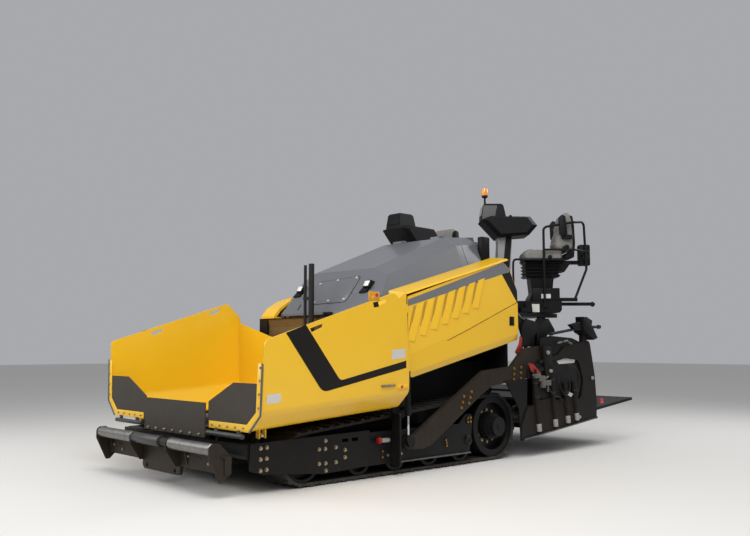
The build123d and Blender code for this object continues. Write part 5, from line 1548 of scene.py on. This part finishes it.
REST_PROFILE = (
    (-0.745, 2.985), (-0.690, 3.010), (-0.680, 3.240), (-0.720, 3.290), (-0.775, 3.270), (-0.800, 3.020),
)
STATION_FITTINGS = (
    Fitting("seat_shell", PLASTIC, (
        Slab(-0.190, 0.190, (
            (-0.915, 2.700), (-0.780, 2.680), (-0.800, 2.760), (-0.893, 2.800), (-0.900, 3.000),
            (-0.886, 3.240), (-0.866, 3.300), (-0.905, 3.290), (-0.925, 3.150), (-0.935, 2.900),
        ), 0.010),
        Box((-0.770, -0.215), (-0.235, 0.235), (2.650, 2.682), 0.010),
    )),
    Fitting("armrests", PLASTIC, tuple(
        part
        for y in (-0.292, 0.292)
        for part in (
            Slab(y - 0.034, y + 0.034, REST_PROFILE, 0.014),
            Box((-0.870, -0.740), (y, y - math.copysign(0.085, y)), (2.950, 3.010), 0.006),
        )
    )),
    Fitting("seat_knobs", PLASTIC, (
        Bar((-0.560, 0.236, 2.700), (-0.560, 0.286, 2.700), 0.026),
        Bar((-0.800, 0.190, 2.840), (-0.800, 0.255, 2.840), 0.034),
    )),
    Fitting("seat_buckle", PLASTIC, (Box((-0.790, -0.740), (0.236, 0.262), (2.760, 2.850), 0.006),)),
    Fitting("hood_face", PALE_PLASTIC, (
        Slab(-0.125, 0.125, ((0.375, 3.305), (0.355, 3.440), (0.357, 3.441), (0.380, 3.306)), 0.001),
    )),
    Fitting("screen", SCREEN, (Sheet(
        ((0.052, -0.100, 3.315), (0.052, 0.100, 3.315), (0.072, 0.092, 3.435), (0.072, -0.092, 3.435)),
        (-0.012, 0, 0.002), 0.003,
    ),)),
    Fitting("keys", PALE_PLASTIC, tuple(
        Bar((-0.040 - row * 0.085, -0.200 + column * 0.050, 3.270),
            (-0.040 - row * 0.085, -0.200 + column * 0.050, 3.288), 0.012, sides=16)
        for row in range(3) for column in range(9)
    )),
    Fitting("stop_button", PLASTIC, (Bar((-0.020, 0.235, 3.268), (-0.020, 0.235, 3.296), 0.018, 0.008),)),
    Fitting("side_control", PLASTIC, (
        Bar((-1.098, 0.040, 2.760), (-1.098, 0.085, 2.760), 0.062, 0.010),
        Bar((-1.098, 0.080, 2.700), (-1.098, 0.105, 2.700), 0.050, 0.010),
        Box((-1.180, -1.020), (-0.090, 0.050), (2.600, 2.900), 0.020),
        Box((-1.030, -0.700), (-0.060, 0.020), (2.620, 2.672), 0.006),
    )),
    Fitting("pedestal_trim", PLASTIC, (
        Box((-0.690, -0.310), (0.155, 0.248), (2.086, 2.265), 0.010),
        Slab(-0.120, 0.120, ((-0.900, 2.655), (-0.560, 2.655), (-0.600, 2.560), (-0.790, 2.500)), 0.008),
        Pipe(0.015, spread_out(0.215, (
            (-0.055, 2.086), (-0.050, 2.400), (-0.048, 2.600), (-0.060, 2.665), (-0.120, 2.672),
            (-0.190, 2.665),
        ))),
    )),
    Fitting("blank_labels", PALE_PLATE, (
        label(0.2485, (-0.560, -0.430), (2.120, 2.180)), label(0.2505, (-0.400, -0.297), (1.928, 2.040)),
    )),
    Fitting("post_face", PLASTIC, (Sheet(
        ((0.085, 0.1325, 2.500), (-0.004, 0.1325, 2.500), (-0.054, 0.1225, 3.020), (0.030, 0.1225, 3.020)),
        (0, 0.0015, 0),
    ),)),
    Fitting("hood_side", MID_PLASTIC, display_sides()),
)
# The right station's hood face is the same pale part as on the left, made black here: painted shade.
RIGHT_SHADED_FINISHES = {"hood_face": PLASTIC}


@dataclass
class Stations:
    """Seats, trim and lamp of both operator stations.

    Attributes:
        cushion: Side outline of the seat's cushion, from the console's line.
        back: Side outline of its back.
        beacon_ahead: Place of the lamp in the station's frame.
        beacon_radius: Radius of its dome.
        rib_heights: Heights at which the dome is cut for its ribs.
        rib_moves: How far its middle is pushed out, and how far the rest of the ribs is drawn in.
    """

    cushion: tuple[Flat, ...] = (
        (-0.755, 2.672), (-0.205, 2.672), (-0.190, 2.715), (-0.205, 2.775), (-0.270, 2.808), (-0.500, 2.796),
        (-0.690, 2.806), (-0.755, 2.780),
    )
    back: tuple[Flat, ...] = (
        (-0.790, 2.760), (-0.660, 2.800), (-0.655, 2.900), (-0.705, 3.060), (-0.725, 3.180), (-0.765, 3.325),
        (-0.800, 3.352), (-0.855, 3.345), (-0.885, 3.240), (-0.898, 3.000), (-0.890, 2.800),
    )
    beacon_ahead: float = 0.507
    beacon_radius: float = 0.0445
    rib_heights: tuple[float, ...] = (3.635, 3.660, 3.685)
    rib_moves: Flat = (0.004, -0.0015)

    @staticmethod
    def local(outline: Iterable[Flat]) -> list[Flat]:
        """Shift an outline from the console's line to the station's frame."""
        return [(x + STATION_FORWARD, z) for x, z in outline]

    def pads(self) -> None:
        """Model the two pads once and set them on both stations in place of the plain seats."""
        cushion_seams = self.local(((-0.360, 2.812), (-0.560, 2.806)))
        back_seams = self.local(((-0.645, 2.930), (-0.712, 3.080), (-0.735, 3.210)))
        for pad in (
            SeatPad("cushion", self.local(self.cushion), STATION_MIDDLE, 0.245, 0.90, cushion_seams),
            SeatPad("backrest", self.local(self.back), STATION_MIDDLE, 0.225, 0.86, back_seams),
        ):
            model = pad.build()
            for side in Side:
                piece = StationCopy.put(model, f"{pad.name}_{side.word}", side)
                place(piece, SEAT_CLOTH, f"station_{side.word}")
                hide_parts(f"seat_{side.word}")
            bpy.data.objects.remove(model)

    def beacon(self) -> None:
        """Model the lamp's ribbed amber dome and its foot on the left station's mast."""
        x, y = self.beacon_ahead, STATION_MIDDLE
        clear_selection()
        bpy.ops.mesh.primitive_cylinder_add(
            vertices=40, radius=self.beacon_radius, depth=0.102, location=(x, y, 3.6635)
        )
        dome = bpy.context.object
        bpy.ops.object.mode_set(mode="EDIT")
        for height in self.rib_heights:
            bpy.ops.mesh.select_all(action="SELECT")
            bpy.ops.mesh.bisect(plane_co=(0, 0, height), plane_no=(0, 0, 1))
        bpy.ops.object.mode_set(mode="OBJECT")
        settle(dome, "beacon_dome")
        low, middle, high = self.rib_heights
        out, back = self.rib_moves
        for vertex in dome.data.vertices:
            if low - 0.005 < vertex.co.z < high + 0.005:
                flat = Vector((vertex.co.x - x, vertex.co.y - y, 0))
                vertex.co += flat.normalized() * (out if abs(vertex.co.z - middle) < 0.01 else back)
        apply_bevel(dome, 0.003, segments=2)
        clear_selection()
        bpy.ops.mesh.primitive_cone_add(
            vertices=32, radius1=0.020, radius2=0.050, depth=0.036, location=(x, y, 3.592)
        )
        foot = settle(bpy.context.object, "beacon_foot")
        apply_bevel(foot, 0.003)
        for model, name, finish in ((dome, "beacon_lens", AMBER_LENS), (foot, "beacon_cup", PLASTIC)):
            place(StationCopy.put(model, name, Side.LEFT), finish, "station_left")
            bpy.data.objects.remove(model)

    def build(self) -> None:
        """Model everything on the stations: each fitting once, with a copy on either side."""
        self.pads()
        for fitting in STATION_FITTINGS:
            model = fitting.model(fitting.name, on_station)
            for side in Side:
                # The right copies take the shaded finishes: the hood face is painted shade there.
                special = RIGHT_SHADED_FINISHES.get(fitting.name, fitting.finish)
                finish = fitting.finish if side is Side.LEFT else special
                copy = StationCopy.put(model, f"{fitting.name}_{side.word}", side)
                place(copy, finish, f"station_{side.word}")
            bpy.data.objects.remove(model)
        self.beacon()


GATE_Y = 1.402
GATE_BACK = (1.3585, 1.3725)
JACKS = (-0.740, -1.120, -1.420, -1.640)
JACK_Y = 1.408


def arm_bolts() -> tuple[Point, ...]:
    """Return the places of the two bolt groups on the tow arm, three rows of two each."""
    spots = []
    for (ahead, z), turn in (((0.660, 0.800), 0.35), ((-0.370, 1.100), 0.10)):
        c, s = math.cos(turn), math.sin(turn)
        for row in (-0.072, 0.0, 0.072):
            for column in (-0.075, 0.075):
                spots.append((ahead + column * c - row * s, 1.350, z - column * s + row * c))
    return tuple(spots)


def jack_ring(ahead: float, base: float, length: float, radius: float, rounding: float = 0.002) -> Bar:
    """Return a sleeve on one of the gate's jacks, which lean with the raised screed."""
    return Bar(raised(ahead, JACK_Y, base), raised(ahead, JACK_Y, base + length), radius, rounding)


REAR_FITTINGS = (
    Fitting("deck_hanger", BLACK, (Slab(1.205, 1.243, (
        (-0.535, 1.915), (-0.640, 1.915), (-0.700, 1.740), (-0.820, 1.470), (-0.720, 1.430), (-0.600, 1.700),
    )),)),
    Fitting("deck_brace", WORN_STEEL, (Bar((-0.525, 1.244, 1.905), (-0.690, 1.244, 1.800), 0.012),)),
    Fitting("lock_hook", RED, (Slab(1.268, 1.280, (
        (-0.540, 1.593), (-0.606, 1.566), (-0.647, 1.459), (-0.513, 1.392), (-0.468, 1.345), (-0.425, 1.379),
        (-0.515, 1.486),
    )),)),
    Fitting("cowl_post", BLACK, (Box((-0.345, -0.180), (0.850, 0.944), (2.600, 2.945), 0.020),)),
    Fitting("oil_boxes", BLACK, (
        Slab(1.252, 1.283, (
            (-0.860, 1.450), (-0.860, 1.600), (-0.920, 1.660), (-0.920, 1.830), (-1.200, 1.842),
            (-1.340, 1.690), (-1.340, 1.640), (-1.160, 1.610), (-1.090, 1.440),
        ), 0.006),
        Slab(1.252, 1.283, (
            (-0.575, 1.450), (-0.590, 1.720), (-0.680, 1.830), (-0.935, 1.790), (-0.905, 1.450),
        ), 0.006),
    )),
    Fitting("shoulder_lip", YELLOW, (
        Slab(1.180, 1.243, ((1.560, 2.008), (1.560, 2.040), (-0.240, 2.602), (-0.255, 2.575)), 0.003),
    )),
    Fitting("arm_plate", BLACK, (Slab(1.258, 1.278, (
        (-0.700, 0.780), (-0.700, 1.060), (-0.950, 1.130), (-1.560, 1.150), (-1.580, 0.740),
    )),), "screed"),
    Fitting("arm_bolts", BRASS, (SideBolts(0.030, arm_bolts()),), "screed"),
    Fitting("gate_plates", BLACK, (
        Slab(*GATE_BACK, raised_outline((
            (-0.560, 0.440), (-0.640, 0.900), (-0.900, 0.985), (-1.330, 1.000), (-1.560, 1.060),
            (-1.830, 1.000), (-1.930, 0.600), (-1.800, 0.360), (-1.560, 0.440),
        )), 0.002),
        Slab(1.362, 1.412, ((-0.880, 1.455), (-1.060, 1.450), (-1.120, 1.020), (-0.930, 1.030)), 0.006),
        Slab(1.330, 1.470, (
            (-1.775, 1.880), (-1.929, 1.863), (-2.153, 1.576), (-2.045, 1.545), (-1.792, 1.688),
        ), 0.012),
        Slab(1.372, 1.440, ((-1.500, 1.760), (-1.820, 1.820), (-1.868, 1.675), (-1.614, 1.690)), 0.010),
        Slab(*GATE_BACK, (
            (-0.090, 1.000), (-0.673, 1.032), (-0.660, 0.345), (-0.400, 0.274), (-0.370, 0.640),
            (-0.213, 0.850),
        ), 0.003),
        Slab(1.3595, 1.3745, (
            (-0.860, 1.560), (-1.104, 1.600), (-1.623, 1.573), (-1.823, 1.517), (-1.800, 1.350),
            (-1.220, 1.245), (-0.870, 1.360),
        ), 0.003),
    ), "extension_{}"),
    Fitting("gate_strap", RED, (Slab(1.4135, 1.4175, (
        (-0.523, 1.234), (-0.633, 1.219), (-0.809, 1.096), (-0.740, 1.058), (-0.586, 1.128),
    ), 0.001),), "extension_{}"),
    Fitting("crank_and_lever", CAST_IRON, (
        Bar((-1.960, 1.455, 1.734), (-2.150, 1.480, 1.738), 0.020),
        Bar((-2.120, 1.478, 1.737), (-2.180, 1.486, 1.740), 0.030, 0.010),
        Bar((-1.100, 1.392, 1.628), (-1.760, 1.405, 1.712), 0.020),
        Bar((-1.085, 1.365, 1.626), (-1.085, 1.425, 1.626), 0.024, 0.008),
    ), "extension_{}"),
    Fitting("valve_block", CLOUDED_METAL, (
        *(
            Box((rear, front), (GATE_Y, GATE_Y + depth), (low, high), 0.006)
            for rear, front, low, high, depth in (
                (-0.760, -0.640, 1.030, 1.090, 0.050), (-0.880, -0.740, 0.985, 1.060, 0.040),
                (-1.000, -0.860, 0.925, 1.000, 0.045), (-0.850, -0.790, 0.900, 0.990, 0.060),
            )
        ),
        *(
            Bar((start, GATE_Y + 0.020, z), (end, GATE_Y + 0.020, end_z), 0.014)
            for start, end, z, end_z in (
                (-0.620, -0.700, 1.075, 1.060), (-0.900, -0.960, 1.020, 1.045),
                (-0.950, -0.950, 0.840, 0.930), (-1.200, -1.300, 1.500, 1.515),
                (-1.340, -1.440, 1.520, 1.535), (-1.460, -1.540, 1.515, 1.490),
            )
        ),
    ), "extension_{}"),
    Fitting("jack_feet", PALE_METAL, tuple(
        jack_ring(ahead, 0.070, 0.100, 0.036, 0.006) for ahead in JACKS
    ), "extension_{}"),
    Fitting("jack_rings", CAST_IRON, tuple(
        jack_ring(ahead, base, 0.030, 0.039)
        for i, ahead in enumerate(JACKS)
        for base in ((0.520, 0.700) if i < 2 else (0.480,))
    ), "extension_{}"),
    Fitting("gate_tags", PALE_PLATE, (
        Slab(1.3728, 1.3745, (
            (-1.238, 1.252), (-1.336, 1.288), (-1.720, 1.296), (-1.660, 1.222), (-1.285, 1.209),
        ), 0),
        Slab(1.403, 1.405, ((-1.406, 0.847), (-1.575, 0.786), (-1.524, 0.746), (-1.356, 0.808)), 0),
    ), "extension_{}"),
    Fitting("gate_sole", WORN_STEEL, (Slab(1.4186, 1.4202, raised_outline((
        (-0.400, 0.017), (-2.120, 0.017), (-2.120, 0.030), (-0.400, 0.030),
    )), 0),), "extension_{}"),
    Fitting("gate_nuts", PALE_METAL, (SideBolts(0.046, (
        (-1.712, GATE_Y, 0.458), (-2.070, GATE_Y, 0.997), (-0.975, 1.412, 1.370), (-1.030, 1.412, 1.120),
    )),), "extension_{}"),
    Fitting("gate_pipes", CAST_IRON, tuple(
        Pipe(0.008, tuple((ahead, GATE_Y + off, z) for ahead, z, off in run))
        for run in (
            ((-1.420, 1.200, 0.012), (-1.560, 1.190, 0.030), (-1.700, 1.080, 0.034), (-1.700, 0.900, 0.034),
             (-1.600, 0.700, 0.030), (-1.640, 0.560, 0.014)),
            ((-1.180, 1.060, 0.012), (-1.240, 0.860, 0.034), (-1.330, 0.760, 0.040), (-1.460, 0.840, 0.034),
             (-1.460, 1.000, 0.030), (-1.400, 1.120, 0.012)),
            ((-0.960, 0.920, 0.020), (-1.000, 0.820, 0.034), (-1.120, 0.760, 0.036), (-1.240, 0.760, 0.030),
             (-1.300, 0.700, 0.012)),
        )
    ), "extension_{}"),
    Fitting("board_marker", RED_LENS, (
        Box((-2.385, -2.300), (1.372, 1.386), (0.620, 0.690)),
    ), "extension_{}"),
)


@dataclass
class Louvres:
    """Slanted raised blades on the side doors, each flush ahead and proud behind.

    Attributes:
        first: Upper front corner of the first blade ahead of the axle.
        pitch: Distance from blade to blade.
        count: Number of blades.
        width: Width of a blade.
        lean: How far its foot lies ahead of its head.
        taper: How much narrower its foot is than its head.
        length: Height of the first blade.
        shorter: How much shorter each blade is than the one before.
        proud: How far its rear edge stands out.
        flush: How far its front edge stands out.
        top_at_front: z of the first blade's upper corner.
        top_slope: Rise of the upper corners to the rear.
        shade_share: Length of the painted shade in the throat beside a blade, as a share of the blade's.
        shade_head: How far its upper corner lies ahead of the blade's and below it.
        shade_foot: How far its near and its far edge lie ahead of the blade at the foot.
        seam: Outline of the seam that climbs over the door to its rear edge.
    """

    first: float = 1.420
    pitch: float = 0.190
    count: int = 7
    width: float = 0.118
    lean: float = 0.180
    taper: float = 0.020
    length: float = 0.430
    shorter: float = 0.012
    proud: float = 0.016
    flush: float = 0.0035
    top_at_front: float = 1.945
    top_slope: float = 0.3102
    shade_share: float = 0.72
    shade_head: Flat = (0.058, 0.018)
    shade_foot: Flat = (0.001, 0.012)
    seam: tuple[Flat, ...] = (
        (-0.540, 2.052), (-0.100, 1.890), (0.500, 1.662), (0.900, 1.520), (0.900, 1.526), (0.500, 1.669),
        (-0.100, 1.897), (-0.540, 2.059),
    )

    def head(self, number: int) -> Flat:
        """Return the upper front corner (ahead, z) of a blade."""
        x = self.first - number * self.pitch
        return x, self.top_at_front + (self.first - x) * self.top_slope

    def blade(self, number: int, side: Side, door: DoorTrim) -> bpy.types.Object:
        """Model one blade.

        Args:
            number: Its place, counted from the front.
            side: Door that gets it.
            door: Trim that knows the door's skin.

        Returns:
            The blade.
        """
        x, top = self.head(number)
        size = self.length - self.shorter * number
        lean = self.lean * size / self.length
        outline = [(x, top), (x - self.width, top + self.width * self.top_slope),
                   (x - self.width + lean, top - size), (x + lean - self.taper, top - size)]
        clear_selection()
        bpy.ops.mesh.primitive_circle_add(vertices=4, radius=1, fill_type="NGON")
        obj = bpy.context.object
        for vertex, (ahead, z) in zip(obj.data.vertices, outline):
            vertex.co = (at(ahead), 0, z)
        bpy.ops.object.mode_set(mode="EDIT")
        bpy.ops.mesh.select_all(action="SELECT")
        bpy.ops.mesh.extrude_region_move(TRANSFORM_OT_translate={"value": (0, 1, 0)})
        bpy.ops.object.mode_set(mode="OBJECT")
        for vertex in obj.data.vertices:
            ahead, out, z = vertex.co.x - AXLE_X, vertex.co.y, vertex.co.z
            corner = min(range(4), key=lambda k: abs(outline[k][0] - ahead) + abs(outline[k][1] - z))
            skin = door.skin_y(ahead, z) - 0.002
            vertex.co.y = side.value * (skin + out * (self.proud if corner in (1, 2) else self.flush))
        settle(obj, f"louvre_{side.word}_{number}")
        fix_normals(obj)
        apply_bevel(obj, 0.003, segments=2, angle=20)
        return obj

    def shade(self, number: int, side: Side, door: DoorTrim) -> bpy.types.Object:
        """Lay the painted shade of the throat along one blade's front edge."""
        x, top = self.head(number)
        foot = top - self.length * self.shade_share
        lean = self.lean * self.shade_share
        ahead, down = self.shade_head
        near, far = self.shade_foot
        outline = [(x + ahead, top - down), (x + near, top), (x + lean + near, foot), (x + lean + far, foot)]
        return door.film_piece(f"louvre_shade_{side.word}_{number}", outline, side)

    def build(self) -> None:
        """Model the blades, the painted shade in their throats and the seam on both doors."""
        door = DoorTrim()
        for side in Side:
            body = f"side_door_{side.word}"
            blades = [self.blade(number, side, door) for number in range(self.count)]
            place(join(f"louvres_{side.word}", blades), YELLOW, body)
            shades = [self.shade(number, side, door) for number in range(self.count)]
            # The throats get darker yellow films: painted shade beside each blade.
            place(join(f"louvre_shades_{side.word}", shades), SHADED_YELLOW, body)
            place(door.film_piece(f"door_seam_{side.word}", self.seam, side), BLACK_STRIPE_AND_PAINTED_SHADE, body)


@dataclass
class BeamTrim:
    """Slots' painted shade, middle tube, rings and bolts on the push beam.

    Attributes:
        face: Front face of the beam ahead of the axle.
        slots: Middle (y, z) of each slot's black film, painted shade.
        slot_half: Half of a slot's width and height.
        bolts: Place (y, z) of each bolt.
        roller: Axis (ahead, z) of the push rollers.
        tube_ends: Both ends (y) of the middle tube.
        tube_radius: Its radius.
        rings: Place (y) of each ring.
        ring_faces: How far a ring's two faces lie inside its place.
        ring_radius: Radius of the rings.
    """

    face: float = 4.050
    slots: tuple[Flat, ...] = ((-0.932, 0.333), (0.064, 0.339), (0.768, 0.345))
    slot_half: Flat = (0.045, 0.012)
    bolts: tuple[Flat, ...] = (
        (-1.083, 0.326), (-0.879, 0.287), (0.575, 0.346), (1.100, 0.330), (0.956, 0.305),
    )
    roller: Flat = (4.160, 0.470)
    tube_ends: Flat = (-0.405, 0.196)
    tube_radius: float = 0.056
    rings: tuple[float, ...] = (0.215, 0.395, -0.405)
    ring_faces: Flat = (0.014, 0.002)
    ring_radius: float = 0.0575

    def build(self) -> None:
        """Model the beam's slots as painted shade, its middle tube, rings and bolts."""
        x = at(self.face) + 0.001
        wide, high = self.slot_half
        # Each slot is a thin black block on the beam's face: painted shade where the slot opens.
        slots = [
            block(f"beam_slot_{i}", (x, y - wide, z - high), (x + 0.0015, y + wide, z + high), 0.0005)
            for i, (y, z) in enumerate(self.slots)
        ]
        place(join("beam_slots", slots), BLACK_STRIPE_AND_PAINTED_SHADE, "push_beam")
        ahead, z = self.roller
        start, end = ((at(ahead), y, z) for y in self.tube_ends)
        place(tube("beam_tube", start, end, self.tube_radius, sides=40), DARK_STEEL, "push_beam")
        rings = []
        for y in self.rings:
            start, end = ((at(ahead), math.copysign(abs(y) - gap, y), z) for gap in self.ring_faces)
            rings.append(tube(f"beam_ring_{y}", start, end, self.ring_radius, sides=40))
        place(join("beam_rings", rings), CAST_IRON, "push_beam")
        spots = [(x, y, z) for y, z in self.bolts]
        place(Bolts("beam_bolts", spots, (1, 0, 0), 0.026).build(), ZINC, "push_beam")


class FrameDress:
    """Finishes of the CAD nodes, by the first prefix that fits a node's name."""

    BY_PREFIX: tuple[tuple[Finish, str], ...] = (
        (BLACK, "auger_case"), (WORN_STEEL, "auger conveyor push_roller"), (YELLOW, "body_shell side_door"),
        # The rail flanges take black paint lightened as a painted highlight on their top faces.
        (UMBER, "tunnel_panel"), (PALE_PLASTIC, "console_post"), (BLACK_WITH_PAINTED_HIGHLIGHT, "rail_flanges"),
        (DARK_STEEL, "flap_tube"), (PLASTIC, "console"), (GREY, "hood_nose engine_hood rear_cowl"),
        (GATE_BROWN, "end_gate"), (CAST_IRON, "engine_block exhaust_stacks final_drives"),
        (FLAP_RUBBER, "flap front_apron"), (CHROME, "lift_rods wing_rod"), (BROWN, "push_beam tow_arms"),
        (SEAT_CLOTH, "seat"), (TRACK_RUBBER, "track_left track_right"), (BLACK, "wing_barrel"),
        (YELLOW, "wing"), (BLACK, ""),
    )

    def build(self) -> None:
        """Dress every CAD node by its name."""
        for name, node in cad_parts.items():
            PAINT.lay(node, next(f for f, words in self.BY_PREFIX if self.fits(name, words)))

    @staticmethod
    def fits(name: str, prefixes: str) -> bool:
        """Say whether a node's name starts with one of the prefixes; with none given it always fits."""
        return not prefixes or name.startswith(tuple(prefixes.split()))


@dataclass
class Studio:
    """Pale floor, soft light and the camera of the photograph.

    Attributes:
        camera_place: Place of the lens.
        yaw: Way that the camera looks, in degrees from +X.
        pitch: How far it looks up, in degrees.
        focal_px: Focal length in pixels of the photograph.
        width_px: Width of the photograph in pixels.
        sensor: Width of the sensor in millimetres.
        floor_size: Length of the floor's sides.
        lamps: Name, place, size and power of each lamp.
        aim: Point that the lamps face.
    """

    camera_place: Point = (7.965, 8.07, 1.45)
    yaw: float = 227.0
    pitch: float = 5.46
    focal_px: float = 823.0
    width_px: float = 750.0
    sensor: float = 36.0
    floor_size: float = 120.0
    lamps: tuple[tuple[str, Point, float, float], ...] = (
        ("key", (5.5, 5.0, 8.5), 7.0, 820.0), ("fill", (8.0, -4.5, 5.0), 6.0, 280.0),
        ("rim", (-7.5, 3.0, 7.0), 5.0, 300.0),
    )
    aim: Point = (0.0, 0.0, 1.0)

    def floor(self) -> None:
        """Lay a pale floor that keeps the machine's shadow."""
        clear_selection()
        bpy.ops.mesh.primitive_plane_add(size=self.floor_size, location=(0, 0, 0))
        plane = bpy.context.object
        plane.name = "floor"
        material = bpy.data.materials.new("pale studio floor")
        material.use_nodes = True
        shader = material.node_tree.nodes["Principled BSDF"]
        shader.inputs["Base Color"].default_value = to_linear("#DAD8D4")
        shader.inputs["Roughness"].default_value = 0.85
        plane.data.materials.append(material)

    def light(self) -> None:
        """Set a broad key, a fill and a pale sky."""
        world = bpy.data.worlds.new("pale sky")
        world.use_nodes = True
        sky = world.node_tree.nodes["Background"]
        sky.inputs["Color"].default_value = (0.93, 0.95, 1.0, 1.0)
        sky.inputs["Strength"].default_value = 0.42
        bpy.context.scene.world = world
        for name, spot, size, power in self.lamps:
            clear_selection()
            bpy.ops.object.light_add(type="AREA", location=spot)
            lamp = bpy.context.object
            lamp.name = name
            lamp.data.size = size
            lamp.data.energy = power
            look = Vector(self.aim) - Vector(spot)
            lamp.rotation_euler = look.to_track_quat("-Z", "Y").to_euler()

    def camera(self) -> None:
        """Set the camera at the photograph's angle."""
        data = bpy.data.cameras.new("photo camera")
        data.sensor_width = self.sensor
        data.lens = self.sensor * self.focal_px / self.width_px
        data.clip_end = 200
        camera = bpy.data.objects.new("photo camera", data)
        bpy.context.collection.objects.link(camera)
        yaw, pitch = math.radians(self.yaw), math.radians(self.pitch)
        look = Vector((math.cos(yaw) * math.cos(pitch), math.sin(yaw) * math.cos(pitch), math.sin(pitch)))
        camera.location = self.camera_place
        camera.rotation_euler = look.to_track_quat("-Z", "Y").to_euler()
        bpy.context.scene.camera = camera

    def build(self) -> None:
        """Set up floor, light, camera and view transform."""
        self.floor()
        self.light()
        self.camera()
        bpy.context.scene.view_settings.view_transform = "Standard"


def main() -> None:
    """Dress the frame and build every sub-assembly."""
    FrameDress().build()
    HopperTrim().build()
    HoodTrim().build()
    DoorTrim().build()
    build_on_both_sides(UNDERCARRIAGE)
    build_on_both_sides(TRACK_BOLTS)
    Stations().build()
    build_on_both_sides(REAR_FITTINGS)
    Louvres().build()
    BeamTrim().build()
    Studio().build()


if __name__ == "__main__":
    main()
